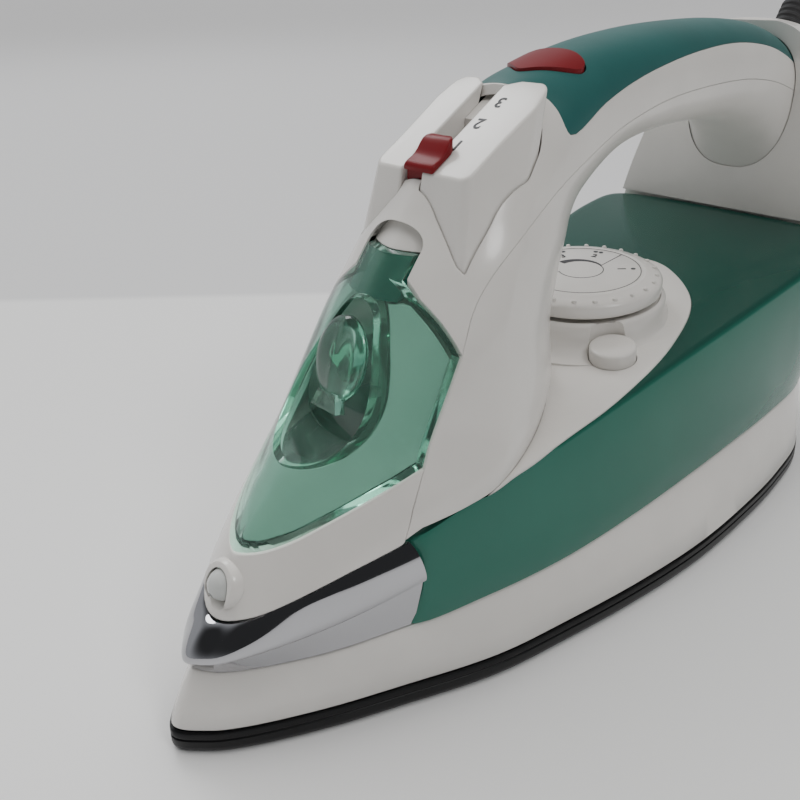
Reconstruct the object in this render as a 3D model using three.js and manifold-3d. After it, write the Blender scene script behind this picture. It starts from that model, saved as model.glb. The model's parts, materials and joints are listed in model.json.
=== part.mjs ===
// A household steam iron, in millimetres, +Z up, nose towards -Y, +X the user's left hand side.
// Every piece is drawn with Y measured back from the nose tip. One group then moves the whole iron
// so that its origin is the middle of the base, on the surface that the soleplate stands on.
import * as THREE from "three";
import { mergeVertices } from "three/addons/utils/BufferGeometryUtils.js";
import Module from "manifold-3d";

const wasm = await Module();
wasm.setup();

// ---- driving dimensions ----
const IRON_LENGTH = 296; // nose tip to the heel feet
const WALL = 2.5; // moulded shells
const GAP = 0.3; // between pieces that touch
const SOLE_TOP = 7.2; // top of the soleplate's visible edge
const CASTING_TOP = 13; // top of the cast block inside the skirt
const DECK_START = { y: 60, z: 53.2 }; // a point on the sloping deck
const DECK_SLOPE = 0.153;
const DECK_THICKNESS = 3;
const HEEL_BACK = 292; // flat back of the heel cover
const HANDLE_END = 262; // where the handle's shells end, inside the heel cover
const DIAL = { y: 161.2, top: 83, radius: 25.4, slope: 0.06 };
const COLLAR_RADIUS = 26.8;
const CLEAN_BUTTON = { x: 25, y: 143, top: 70.5, radius: 6.9 };
const PAD_SLOPE = 0.56; // rise per mm of the button pads' tops
const PAD_START = { y: 88, z: 127.1 };
const PAD_DEPTH = 19;
const PAD_CLEARANCE = 0.5;
const CHANNEL = { left: 1.5, right: -5.2 }; // the slider's groove between the two pads
const LID = { top: [65.6, 98], bottom: [57.2, 74.6], halfWidth: 8.6 }; // y and z of its ends
const GLAND = { y: 276, z: 134, ball: 9, stem: 5, bore: 3.4, axis: [0, 0.6, 0.8] };
const ELEMENT = { radius: 3.2, z: 16.5 };
const SMALLEST_EDGE = 0.03;
const RING_POINTS = 48; // points round each plan outline
const SECTION_POINTS = 26; // points round each section of the upper body

// ---- finishes ----
const finish = (color, roughness, metalness = 0) =>
  new THREE.MeshStandardMaterial({ color, roughness, metalness });
const whitePlastic = finish(0xe4e0da, 0.28);
const innerPlastic = finish(0xcfccc6, 0.5);
const chrome = finish(0xc8cad0, 0.08, 1);
const clearGreen = finish(0x8fc7b1, 0.1);
const tankGreen = finish(0x2c6e5b, 0.22);
const gripGreen = finish(0x2f6c68, 0.55);
const clearRed = finish(0x9a1420, 0.12);
const soleCoat = finish(0x1d1d20, 0.35);
const rubber = finish(0x3a3b3d, 0.8);
const silicone = finish(0xb9b4aa, 0.7);
const steel = finish(0xa9abad, 0.35, 1);
const brass = finish(0xb08d4a, 0.35, 1);
const phenolic = finish(0x3b2a22, 0.6);

// ---- solids ----
const signedVolume = (positions, triangles) => {
  const [a, b, c] = [new THREE.Vector3(), new THREE.Vector3(), new THREE.Vector3()];
  let sum = 0;
  for (let i = 0; i < triangles.length; i += 3) {
    a.fromArray(positions, 3 * triangles[i]);
    b.fromArray(positions, 3 * triangles[i + 1]);
    c.fromArray(positions, 3 * triangles[i + 2]);
    sum += a.dot(b.cross(c));
  }
  return sum / 6;
};

// The geometry with its corners joined wherever they are closer than this, and nothing else.
function welded(geometry, closest) {
  const bare = new THREE.BufferGeometry();
  bare.setAttribute("position", geometry.getAttribute("position"));
  if (geometry.index) bare.setIndex(geometry.index);
  const merged = mergeVertices(bare, closest);
  const kept = [];
  const index = merged.index.array;
  for (let i = 0; i < index.length; i += 3) {
    const [a, b, c] = [index[i], index[i + 1], index[i + 2]];
    if (a !== b && b !== c && c !== a) kept.push(a, b, c);
  }
  return merged.setIndex(kept);
}

// A closed surface as a solid with its faces outwards.
function solid(geometry) {
  const joined = welded(geometry, 1e-4);
  const vertProperties = new Float32Array(joined.attributes.position.array);
  const kept = Array.from(joined.index.array);
  if (signedVolume(vertProperties, kept) < 0) kept.reverse();
  const triVerts = new Uint32Array(kept);
  return new wasm.Manifold(new wasm.Mesh({ numProp: 3, vertProperties, triVerts }));
}

function geometryOf(body) {
  const mesh = body.getMesh();
  const positions = new Float32Array(mesh.numVert * 3);
  for (let i = 0; i < mesh.numVert; i++)
    positions.set(mesh.vertProperties.subarray(i * mesh.numProp, i * mesh.numProp + 3), i * 3);
  const geometry = new THREE.BufferGeometry();
  geometry.setAttribute("position", new THREE.BufferAttribute(positions, 3));
  geometry.setIndex(new THREE.BufferAttribute(new Uint32Array(mesh.triVerts), 1));
  return geometry;
}

const placed = (geometry, matrix) => solid(geometry.clone().applyMatrix4(matrix));
const moved = (geometry, x, y, z) => solid(geometry.clone().translate(x, y, z));
const biggest = (body) => body.decompose().sort((a, b) => b.volume() - a.volume())[0];
const union = (bodies) => bodies.reduce((sum, body) => sum.add(body));

// A skin through rings of equal counts. Open ends are closed by fans about their middles.
function loft(rings, closesOnItself = false) {
  const count = rings[0].length;
  const positions = rings.flat().flatMap((p) => [p.x, p.y, p.z]);
  const triangles = [];
  const spans = closesOnItself ? rings.length : rings.length - 1;
  for (let i = 0; i < spans; i++) {
    const next = (i + 1) % rings.length;
    for (let j = 0; j < count; j++) {
      const k = (j + 1) % count;
      const [a, b] = [i * count + j, i * count + k];
      const [c, d] = [next * count + k, next * count + j];
      triangles.push(a, b, c, a, c, d);
    }
  }
  if (!closesOnItself) {
    for (const end of [0, rings.length - 1]) {
      const middle = rings[end].reduce((sum, p) => sum.add(p), new THREE.Vector3());
      middle.divideScalar(count);
      const hub = positions.length / 3;
      positions.push(middle.x, middle.y, middle.z);
      for (let j = 0; j < count; j++) {
        const pair = [end * count + j, end * count + ((j + 1) % count)];
        if (end === 0) pair.reverse();
        triangles.push(hub, ...pair);
      }
    }
  }
  const geometry = new THREE.BufferGeometry();
  geometry.setAttribute("position", new THREE.Float32BufferAttribute(positions, 3));
  geometry.setIndex(triangles);
  return solid(geometry);
}

// A closed outline round the iron from points on its left side, nose first, tail last.
function planRing(side, count = RING_POINTS) {
  const left = side.map(([x, y, z]) => new THREE.Vector3(x, y, z));
  const right = left.slice(1, -1).reverse();
  const all = left.concat(right.map((p) => new THREE.Vector3(-p.x, p.y, p.z)));
  const curve = new THREE.CatmullRomCurve3(all, true, "centripetal");
  return Array.from({ length: count }, (_, i) => curve.getPoint(i / count));
}

// The same ring drawn in by these distances at its sides, nose and tail, and lifted.
function drawnIn(ring, side, nose = side, tail = side, lift = 0) {
  const widest = Math.max(...ring.map((p) => p.x));
  const front = Math.min(...ring.map((p) => p.y));
  const back = Math.max(...ring.map((p) => p.y));
  const stretch = (back - front - nose - tail) / (back - front);
  return ring.map((p) => new THREE.Vector3(
    p.x * (1 - side / widest),
    front + nose + (p.y - front) * stretch,
    p.z + lift,
  ));
}

const atHeight = (ring, z) => ring.map((p) => new THREE.Vector3(p.x, p.y, z));
const between = (low, high, t, bulge = 0) => low.map((p, i) => {
  const q = p.clone().lerp(high[i], t);
  q.x += Math.sign(q.x) * bulge;
  return q;
});

// Plates and cutters seen from the side: an outline of [y, z] points made as wide as asked.
function sideProfile(points, fromX = -90, toX = 90) {
  const shape = new THREE.Shape(points.map(([y, z]) => new THREE.Vector2(y, z)));
  const geometry = new THREE.ExtrudeGeometry(shape, { depth: toX - fromX, bevelEnabled: false });
  const axes = new THREE.Matrix4().makeBasis(
    new THREE.Vector3(0, 1, 0), new THREE.Vector3(0, 0, 1), new THREE.Vector3(1, 0, 0));
  axes.setPosition(fromX, 0, 0);
  return placed(geometry, axes);
}

// The same seen from the front: an outline of [x, z] points, from one y to another.
function frontProfile(points, fromY, toY) {
  const shape = new THREE.Shape(points.map(([x, z]) => new THREE.Vector2(x, z)));
  const geometry = new THREE.ExtrudeGeometry(shape, { depth: toY - fromY, bevelEnabled: false });
  const axes = new THREE.Matrix4().makeBasis(
    new THREE.Vector3(1, 0, 0), new THREE.Vector3(0, 0, 1), new THREE.Vector3(0, -1, 0));
  axes.setPosition(0, toY, 0);
  return placed(geometry, axes);
}

const box = (fromX, toX, fromY, toY, fromZ, toZ) => moved(
  new THREE.BoxGeometry(toX - fromX, toY - fromY, toZ - fromZ),
  (fromX + toX) / 2, (fromY + toY) / 2, (fromZ + toZ) / 2);

// A turned piece: [radius, height] points about an axis that starts at base and points along axis.
function turned(profile, base, axis = [0, 0, 1], sides = 24) {
  const points = profile.map(([r, h]) => new THREE.Vector2(r, h));
  const geometry = new THREE.LatheGeometry(points, sides);
  const turn = new THREE.Quaternion().setFromUnitVectors(
    new THREE.Vector3(0, 1, 0), new THREE.Vector3(...axis).normalize());
  const matrix = new THREE.Matrix4().compose(
    new THREE.Vector3(...base), turn, new THREE.Vector3(1, 1, 1));
  return placed(geometry, matrix);
}

const rod = (radius, from, to, sides = 16) => {
  const start = new THREE.Vector3(...from);
  const along = new THREE.Vector3(...to).sub(start);
  const length = along.length();
  return turned([[0, 0], [radius, 0], [radius, length], [0, length]], from, along.toArray(), sides);
};

const sleeve = (inner, outer, from, to, sides = 20) => {
  const along = new THREE.Vector3(...to).sub(new THREE.Vector3(...from));
  const length = along.length();
  const wall = [[inner, 0], [outer, 0], [outer, length], [inner, length], [inner, 0]];
  return turned(wall, from, along.toArray(), sides);
};

function tube(points, radius, steps, sides = 8) {
  const path = new THREE.CatmullRomCurve3(points.map((p) => new THREE.Vector3(...p)));
  const circle = new THREE.Shape();
  for (let i = 0; i < sides; i++) {
    const angle = (2 * Math.PI * i) / sides;
    const [x, y] = [radius * Math.cos(angle), radius * Math.sin(angle)];
    if (i === 0) circle.moveTo(x, y);
    else circle.lineTo(x, y);
  }
  return solid(new THREE.ExtrudeGeometry(circle, { steps, extrudePath: path, bevelEnabled: false }));
}

// A compression spring about an axis, as a square wire wound in a helix.
class Helix extends THREE.Curve {
  constructor(base, axis, radius, length, turns) {
    super();
    Object.assign(this, { base, axis, radius, length, turns });
    this.across = new THREE.Vector3(1, 0, 0);
    this.third = axis.clone().cross(this.across).normalize();
  }

  getPoint(t, target = new THREE.Vector3()) {
    const angle = 2 * Math.PI * this.turns * t;
    return target.copy(this.base)
      .addScaledVector(this.axis, this.length * t)
      .addScaledVector(this.across, this.radius * Math.cos(angle))
      .addScaledVector(this.third, this.radius * Math.sin(angle));
  }
}

function spring(base, axis, radius, length, turns, wire) {
  const path = new Helix(new THREE.Vector3(...base), new THREE.Vector3(...axis).normalize(),
    radius, length, turns);
  const section = new THREE.Shape([[-1, -1], [1, -1], [1, 1], [-1, 1]].map(
    ([x, y]) => new THREE.Vector2(x * wire / 2, y * wire / 2)));
  return solid(new THREE.ExtrudeGeometry(section,
    { steps: turns * 10, extrudePath: path, bevelEnabled: false }));
}

const iron = new THREE.Group();
const fromNose = new THREE.Group();
fromNose.position.set(0, -IRON_LENGTH / 2, 0);
iron.add(fromNose);

function add(name, body, material) {
  const geometry = welded(geometryOf(body), SMALLEST_EDGE);
  geometry.computeVertexNormals();
  const mesh = new THREE.Mesh(geometry, material);
  mesh.name = name;
  fromNose.add(mesh);
}

// ---- plan outlines, [half width, y, z] from the nose to the tail ----
const soleSide = [
  [0, 0], [7, 5], [11.9, 11], [22.2, 29], [31, 48], [42, 74], [48, 98], [53.7, 126],
  [57.5, 154], [58.6, 182], [57.8, 210], [54, 236], [44, 254], [26, 262], [0, 264],
].map(([x, y]) => [x, y, 0]);
const skirtTopSide = [
  [0, 8.3, 22.1], [4.2, 11.2, 21.2], [7.6, 15.5, 20.8], [16.8, 29, 21.5], [28.6, 48, 25.2],
  [37.6, 74, 26.3], [43.2, 98, 26.9], [46.6, 126, 27.7], [48.4, 154, 28.4], [49.6, 182, 29.2],
  [50.2, 210, 30], [48.6, 236, 30.6], [41, 254, 31], [25, 261, 31.2], [0, 263, 31.3],
];
const tankFootSide = [
  [0, 52.4, 26.2], [14, 52.2, 26.2], [27.4, 52, 26.2], [31, 53.4, 26.2], [38, 74, 26.7],
  [43.5, 98, 27.3], [46.9, 126, 28.1], [48.7, 154, 28.8], [49.9, 182, 29.6], [50.5, 210, 30.4],
  [48.6, 238, 31], [40, 253, 31.5], [24, 256.8, 31.6], [0, 257, 31.7],
];
const tankTopSide = [
  [0, 56, 49.2], [13, 55.9, 49.2], [25.6, 55.2, 49.4], [28.6, 57, 50.2], [33.4, 74, 55.3],
  [36.6, 98, 59], [39.6, 126, 63.3], [42.3, 154, 67.6], [45.2, 182, 71.9], [47.7, 210, 76.1],
  [49.6, 238, 80.4], [46, 252, 82.6], [26, 256.6, 83.2], [0, 257, 83.3],
];
const deckSide = [
  [0, 59.4], [14, 59.5], [26, 60.4], [33.1, 74], [35.3, 88], [36.9, 105.9], [38.3, 126.7],
  [36, 157.4], [26.7, 186], [8.9, 202.4], [0, 204.9],
].map(([x, y]) => [x, y, 0]);

const deckHeight = (y) => DECK_START.z + DECK_SLOPE * (y - DECK_START.y);
const deckNormal = [0, -DECK_SLOPE, 1];
const dialAxis = [0, -DIAL.slope, 1];
const onDialAxis = (z) => [0, DIAL.y + DIAL.slope * (DIAL.top - z), z];
const onCleanAxis = (z) => [
  CLEAN_BUTTON.x, CLEAN_BUTTON.y + DECK_SLOPE * (CLEAN_BUTTON.top - z), z];

const soleRing = planRing(soleSide);
const skirtTopRing = planRing(skirtTopSide);
const tankFoot = planRing(tankFootSide);
const tankTop = planRing(tankTopSide);
const deckRing = planRing(deckSide);

// ---- the upper body: sections that lean back from the nose and turn over into the handle ----
// Each row: front or top point y, z; back or under point y, z; half width; where along it is
// widest; and how square its front and its back are (2 is an ellipse).
const bodySections = [
  [15.5, 33, 140, 52, 30, 0.5, 2, 1.6],
  [25, 50, 137, 65.5, 34.6, 0.5, 1.5, 1.5],
  [33.8, 60, 131, 73.5, 32.6, 0.54, 1.55, 1.8],
  [41.3, 68, 128, 80, 31, 0.56, 1.62, 1.9],
  [54.9, 84, 128, 88, 29, 0.47, 1.68, 2],
  [61.3, 91.7, 130, 94, 27.8, 0.41, 1.65, 2.1],
  [68.6, 101.5, 132.6, 99.5, 26.2, 0.39, 1.6, 2.1],
  [74.6, 109, 135, 105, 24.6, 0.37, 1.6, 2.2],
  [81, 116.5, 138, 109.4, 22.6, 0.36, 1.6, 2.2],
  [88, 124.8, 143, 113.4, 20.6, 0.38, 1.8, 2.2],
  [101, 133.5, 150.5, 117.8, 19, 0.42, 2.1, 2.3],
  [116.3, 142.8, 158, 120.8, 17.9, 0.46, 2.2, 2.4],
  [131, 147, 165, 122.6, 17.4, 0.48, 2.3, 2.5],
  [149, 150.4, 174, 123.6, 17.2, 0.5, 2.4, 2.6],
  [169, 152.4, 185, 123.8, 17, 0.5, 2.4, 2.6],
  [192, 153.2, 199, 123.4, 17, 0.5, 2.4, 2.6],
  [222, 152.6, 220, 121.6, 17.2, 0.5, 2.4, 2.6],
  [243, 150, 237, 117.4, 18, 0.5, 2.4, 2.6],
  [260, 144, 249, 109.5, 19, 0.5, 2.4, 2.6],
  [275, 133, 257, 97, 20, 0.5, 2.4, 2.6],
];

// One section as a ring, drawn in by inset.
function bodyRing([frontY, frontZ, backY, backZ, half, widest, frontPower, backPower], inset) {
  const front = new THREE.Vector2(frontY, frontZ);
  const span = new THREE.Vector2(backY, backZ).sub(front);
  const length = span.length();
  const along = span.clone().divideScalar(length);
  const middle = front.clone().addScaledVector(span, widest);
  const power = (value, exponent) => Math.sign(value) * Math.abs(value) ** exponent;
  return Array.from({ length: SECTION_POINTS }, (_, i) => {
    const angle = (2 * Math.PI * i) / SECTION_POINTS;
    const isFront = Math.cos(angle) >= 0;
    const exponent = 2 / (isFront ? frontPower : backPower);
    const reach = (isFront ? widest : 1 - widest) * length - inset;
    const point = middle.clone().addScaledVector(along, -reach * power(Math.cos(angle), exponent));
    return new THREE.Vector3((half - inset) * power(Math.sin(angle), exponent), point.x, point.y);
  });
}

// The rows with smooth in-between rows, from which every shell of the upper body is cut.
function smoothRows(rows, perSpan) {
  const value = (t, column) => {
    const i = Math.min(Math.floor(t), rows.length - 2);
    const u = t - i;
    const p1 = rows[i][column];
    const p2 = rows[i + 1][column];
    const p0 = i > 0 ? rows[i - 1][column] : 2 * p1 - p2;
    const p3 = i + 2 < rows.length ? rows[i + 2][column] : 2 * p2 - p1;
    return 0.5 * (2 * p1 + (p2 - p0) * u + (2 * p0 - 5 * p1 + 4 * p2 - p3) * u ** 2
      + (3 * p1 - p0 - 3 * p2 + p3) * u ** 3);
  };
  const steps = (rows.length - 1) * perSpan;
  return Array.from({ length: steps + 1 }, (_, i) => rows[0].map((_, c) => value(i / perSpan, c)));
}

// The outer skin is the fine one, most of all at the front. All inside it shares coarser sections.
const fineSections = smoothRows(bodySections, 2).filter((_, i) => i < 24 || i % 2 === 0);
const upperBody = (inset) => loft(
  (inset > 0 ? bodySections : fineSections).map((row) => bodyRing(row, inset)));
const outerBody = upperBody(0);
const skin = outerBody.subtract(upperBody(WALL));

// ---- parting lines on the upper body, seen from the side as [y, z] ----
const chromeLine = [[15.5, 33.4], [18.4, 35.1], [21.5, 36.6], [30.2, 40.7], [41.1, 45.1], [53.4, 49]];
const windowFoot = [[23.4, 48.2], [28, 49.9], [34.1, 52.6], [41, 56], [50.5, 60.3], [62.7, 65.4]];
const windowHead = [[76.8, 89.3], [75.5, 96.2], [74.2, 101], [74.3, 105.4]];
const shellSeam = [
  [76.8, 89.3], [82.2, 98.2], [89.3, 105.8], [98.5, 112], [111.3, 117.6], [124.1, 122.4],
  [136, 126.3], [150, 130.6], [168.4, 134.2], [190, 135.7], [222, 135.2], [243, 132],
  [HANDLE_END, 126],
];
const gripLine = [
  [117.4, 143.2], [120.2, 140.6], [121.2, 138.2], [123.3, 132], [139.3, 137.6], [152.8, 141.3],
  [167.4, 143.8], [189.2, 146], [215, 146.4], [236, 143.8], [250, 139.6], [HANDLE_END, 134.4],
];
const offset = (points, dy, dz) => points.map(([y, z]) => [y + dy, z + dz]);
const backwards = (points) => points.slice().reverse();

const tabHalfWidth = 8;
const tabTop = 109.8;

const windowRegion = sideProfile([
  ...offset(windowFoot, 0, GAP), [76.4, 89.2], [75.1, 96.1], [73.8, 100.9], [73.9, 105.4],
  [55, 105.4], [10, 60], [10, 47],
]);
const frontRegion = sideProfile([
  [5, 31], ...offset(chromeLine, 0, GAP), [53.7, 49.4], [57.1, 56.9],
  [62.3, 65], ...backwards(offset(windowFoot, 0, -GAP)).slice(1), [10, 46.7], [5, 46],
]);
const bodyRegion = sideProfile([
  [54.3, 50.2], [57.7, 56.9], [63.1, 65.4], [77, 88.8], ...offset(shellSeam, 0, -0.25).slice(1),
  [HANDLE_END, 90], [140, deckHeight(140) + GAP], [58.6, deckHeight(58.6) + GAP],
]);
const shellRegion = sideProfile([
  ...offset(shellSeam, 0, 0.25).slice(1),
  ...backwards(offset(gripLine, 0, -GAP)), [116, 170], [60, 130], [60, 105.9], [74.6, 105.9],
  ...backwards(offset(windowHead.slice(0, 3), GAP, 0.2)),
]);
const gripRegion = sideProfile([...gripLine, [HANDLE_END, 170], [117, 170]]);

// The arched finger notch above the window's tab.
const arch = (half, foot, spring, top, steps = 10) => {
  const points = [[-half, foot], [half, foot]];
  for (let i = 0; i <= steps; i++) {
    const angle = (Math.PI * i) / steps;
    points.push([half * Math.cos(angle), spring + (top - spring) * Math.sin(angle)]);
  }
  return points;
};
const notch = frontProfile(arch(9, 102, 110.5, 116), 60, 88);

// ---- base ----
function soleplate() {
  const plate = loft([
    atHeight(drawnIn(soleRing, 2, 4, 2), 0), atHeight(drawnIn(soleRing, 0.6, 1.2, 0.6), 0.8),
    atHeight(soleRing, 2.6), atHeight(drawnIn(soleRing, 0.3), SOLE_TOP),
  ]);
  const block = loft([
    atHeight(drawnIn(soleRing, 9, 30, 12), SOLE_TOP - 1),
    atHeight(drawnIn(soleRing, 9, 30, 12), CASTING_TOP),
  ]);
  const vent = (x, y) => rod(1.3, [x, y, -1], [x, y, CASTING_TOP + 1], 6);
  const holes = [];
  for (let y = 60; y <= 200; y += 24) {
    const reach = 0.24 * (y - 20);
    holes.push(vent(reach, y), vent(-reach, y));
  }
  add("soleplate", plate.add(block).subtract(union(holes)), soleCoat);
}

function steamChamber() {
  const outline = drawnIn(soleRing, 24, 70, 42);
  const inside = drawnIn(soleRing, 28, 82, 46);
  add("chamber_gasket", loft([
    atHeight(outline, 13.3), atHeight(outline, 14.1), atHeight(inside, 14.1), atHeight(inside, 13.3),
  ], true), silicone);
  add("steam_chamber_cover", loft([atHeight(outline, 14.4), atHeight(outline, 15.8)]), steel);
  const half = [[14, 240], [25, 236], [38, 215], [41, 180], [37, 140], [29, 104], [18, 72], [7, 53]];
  const other = backwards(half).map(([x, y]) => [-x, y]);
  const bend = [...half, [0, 49], ...other].map(([x, y]) => [x, y, ELEMENT.z]);
  add("heating_element", tube(bend, ELEMENT.radius, 36, 6), steel);
}

const screwSpots = { front: [0, 41], rear_left: [22, 246], rear_right: [-22, 246] };
const burstPipe = { x: -10.5, y: 84 };
const dripValve = { x: 0, y: 108 };
const shield = { low: 22, high: 24 };

function heatShield() {
  const outline = drawnIn(soleRing, 12, 34, 9);
  const hole = (radius, x, y) => rod(radius, [x, y, shield.low - 2], [x, y, shield.high + 2], 12);
  const holes = [
    rod(11, [0, DIAL.y + 3.2, 20], [0, DIAL.y + 3.2, 26], 24),
    rod(3.2, onCleanAxis(15), onCleanAxis(30), 12),
    hole(2.2, burstPipe.x, burstPipe.y), hole(4.6, dripValve.x, dripValve.y),
    ...Object.values(screwSpots).map(([x, y]) => hole(2, x, y)),
  ];
  const plate = loft([atHeight(outline, shield.low), atHeight(outline, shield.high)]);
  add("heat_shield", plate.subtract(union(holes)), phenolic);
  add("thermostat", turned([[0, 0], [9, 0], [9, 8], [5, 8], [5, 10.6], [0, 10.6]],
    [0, DIAL.y + 3.3, 16.3], [0, 0, 1], 20), brass);
  add("thermal_fuse", rod(2.6, [-16, 150, 18.9], [-16, 172, 18.9], 12), steel);
}

function skirt() {
  const foot = atHeight(drawnIn(soleRing, 0.6, 1, 0.6), SOLE_TOP + GAP);
  const wall = [foot, skirtTopRing, drawnIn(skirtTopRing, WALL, 8, WALL), drawnIn(foot, WALL, 8, WALL)];
  add("skirt", loft(wall, true), whitePlastic);
  for (const [place, [x, y]] of Object.entries(screwSpots))
    add("base_screw_" + place, turned(
      [[0, 0], [1.6, 0], [1.6, 10.9], [3.6, 10.9], [3.6, 12.9], [0, 12.9]],
      [x, y, CASTING_TOP + 0.4], [0, 0, 1], 10), steel);
}

// ---- nose ----
function noseTrim() {
  const foot = [[0, 8.6, 22.5], [4.2, 11.5, 21.6], [7.8, 15.8, 21.2], [16.6, 29, 21.9],
    [23.3, 38.7, 24], [31.2, 54, 26.6]];
  const bead = [[0, 9.2, 25.4], [4.6, 12.6, 25.6], [8.3, 16.8, 26.6], [16.7, 29.5, 30.3],
    [22.8, 40.4, 33.9], [30.2, 56, 39.4]];
  const crown = [[0, 10.4, 29.2], [4.8, 13.8, 29.8], [8.6, 18, 31.2], [17.3, 30.4, 35.6],
    [23.4, 41.2, 39.8], [29.6, 56, 44.4]];
  const rim = [[0, 15, 32.9], [4, 16.8, 33.6], [7.4, 18.9, 34.8], [16.6, 30.2, 40.3],
    [22.2, 41.1, 44.7], [28, 55.4, 49]];
  const strip = (points) => {
    const left = points.map(([x, y, z]) => new THREE.Vector3(x, y, z));
    const right = left.slice(1).reverse().map((p) => new THREE.Vector3(-p.x, p.y, p.z));
    return new THREE.CatmullRomCurve3(right.concat(left), false, "centripetal").getPoints(24);
  };
  const bands = [foot, bead, crown, rim].map(strip);
  const inner = bands.map((band) => band.map((p) => new THREE.Vector3(
    p.x * 0.9, p.y + (Math.abs(p.x) < 12 ? 2.4 : 1.2), p.z)));
  const rings = bands[0].map((_, i) => [
    ...bands.map((band) => band[i]), ...backwards(inner).map((band) => band[i])]);
  add("nose_trim", loft(rings).subtract(tankOutside(-GAP)), chrome);
}

function frontCover() {
  const cover = skin.intersect(frontRegion).subtract(rod(4.4, [0, 12, 38.5], [0, 34, 45], 20));
  add("front_cover", cover, whitePlastic);
  add("spray_nozzle", turned(
    [[0, 0], [0.9, 0], [2.6, 0.9], [3.6, 2.2], [4, 4], [4, 9], [2, 9], [2, 11], [0, 11]],
    [0, 16.6, 39.8], [0, 0.96, 0.28], 18), whitePlastic);
}

// ---- front window, its filler dent and the lid ----
const DENT_SIDE = [[0, 100.6], [3.2, 100], [5.6, 98.4], [7.8, 95.6], [10, 91.4], [12.2, 85.6], [13.5, 79],
  [13.2, 73.4], [11, 69.4], [7, 67], [0, 66.2]];
function dentOutline(grow) {
  const side = DENT_SIDE.map(([x, z]) => {
    const away = new THREE.Vector2(x, z - 82).normalize().multiplyScalar(grow);
    return [x + away.x, z + away.y];
  });
  return [...side, ...backwards(side).slice(1, -1).map(([x, z]) => [-x, z])];
}
const lidSlope = (LID.top[0] - LID.bottom[0]) / (LID.top[1] - LID.bottom[1]);
const backWall = (z, shift = 0) => [LID.bottom[0] + lidSlope * (z - LID.bottom[1]) + shift, z];
const lidNormal = [0, -1, lidSlope];

function frontWindow() {
  const tab = sideProfile([[60, 104], [73.9, 104], [79.5, tabTop], [60, tabTop]],
    -tabHalfWidth, tabHalfWidth);
  const pane = skin.intersect(windowRegion.add(tab));
  add("front_window", pane.subtract(frontProfile(dentOutline(0), 20, 100)), clearGreen);
  const basin = frontProfile(dentOutline(2.2), 30, 90).intersect(upperBody(WALL + GAP));
  const behind = sideProfile([backWall(50, 5.2), backWall(110, 5.2), [10, 110], [10, 50]]);
  const hollow = frontProfile(dentOutline(0), 20, 100).intersect(
    sideProfile([backWall(50, 2.6), backWall(110, 2.6), [10, 110], [10, 50]]));
  const inlet = rod(5, [0, 50, 86], [0, 80, 84], 16);
  const shell = basin.intersect(behind).subtract(hollow).subtract(inlet);
  add("filler_basin", biggest(shell), clearGreen);
  const liner = upperBody(4).subtract(upperBody(5.6)).intersect(sideProfile([
    ...offset(windowFoot, 4, 2).slice(1), [76, 88], [74, 99], [56, 99], [34, 68], [30, 53]]));
  add("window_liner", biggest(liner.subtract(frontProfile(dentOutline(2.8), 20, 100))), innerPlastic);
}

function fillerLid() {
  const middle = [(LID.top[0] + LID.bottom[0]) / 2, (LID.top[1] + LID.bottom[1]) / 2];
  const halfLength = Math.hypot(LID.top[0] - LID.bottom[0], LID.top[1] - LID.bottom[1]) / 2;
  const dome = turned([[0, 0], [1, 0], [0.96, 1.4], [0.7, 2.4], [0.35, 2.9], [0, 3]],
    [0, 0, 0], [0, 0, 1], 24);
  const mesh = geometryOf(dome).scale(LID.halfWidth, halfLength - 1.6, 1);
  const up = new THREE.Vector3(0, lidSlope, 1).normalize();
  const out = new THREE.Vector3(...lidNormal).normalize();
  const axes = new THREE.Matrix4().makeBasis(up.clone().cross(out), up, out);
  const seat = out.clone().multiplyScalar(0.2);
  axes.setPosition(0, middle[0] + seat.y, middle[1] + seat.z);
  const lip = new THREE.Shape([[-4.6, -0.5], [4.6, -0.5], [3.2, 4], [-3.2, 4]].map(
    ([x, y]) => new THREE.Vector2(x, y)));
  const lipSolid = new THREE.ExtrudeGeometry(lip, { depth: 3.2, bevelEnabled: false });
  lipSolid.translate(0, -halfLength, 0).applyMatrix4(axes);
  const pinAt = [0, LID.top[0] - 0.6 * out.y, LID.top[1] - 0.6 * out.z];
  const knuckle = rod(1.9, [-4, pinAt[1], pinAt[2]], [4, pinAt[1], pinAt[2]], 12);
  const pinHole = rod(1.1, [-8, pinAt[1], pinAt[2]], [8, pinAt[1], pinAt[2]], 10);
  const lid = placed(mesh, axes).add(solid(lipSolid)).add(knuckle).subtract(pinHole);
  add("filler_lid", lid, clearGreen);
  add("lid_pin", rod(0.8, [-5.2, pinAt[1], pinAt[2]], [5.2, pinAt[1], pinAt[2]], 8), steel);
}

// ---- water tank and deck ----
// The tank's outside, drawn in by inset. Its front wall bulges back behind the nose trim's ends.
function tankOutside(inset) {
  const middle = between(tankFoot, tankTop, 0.5, 0.8);
  for (const p of middle) if (p.y < 56) p.y += 1.8;
  return loft([drawnIn(tankFoot, inset, inset, inset, inset), drawnIn(middle, inset),
    drawnIn(tankTop, inset, inset, inset, -inset)]);
}

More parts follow.
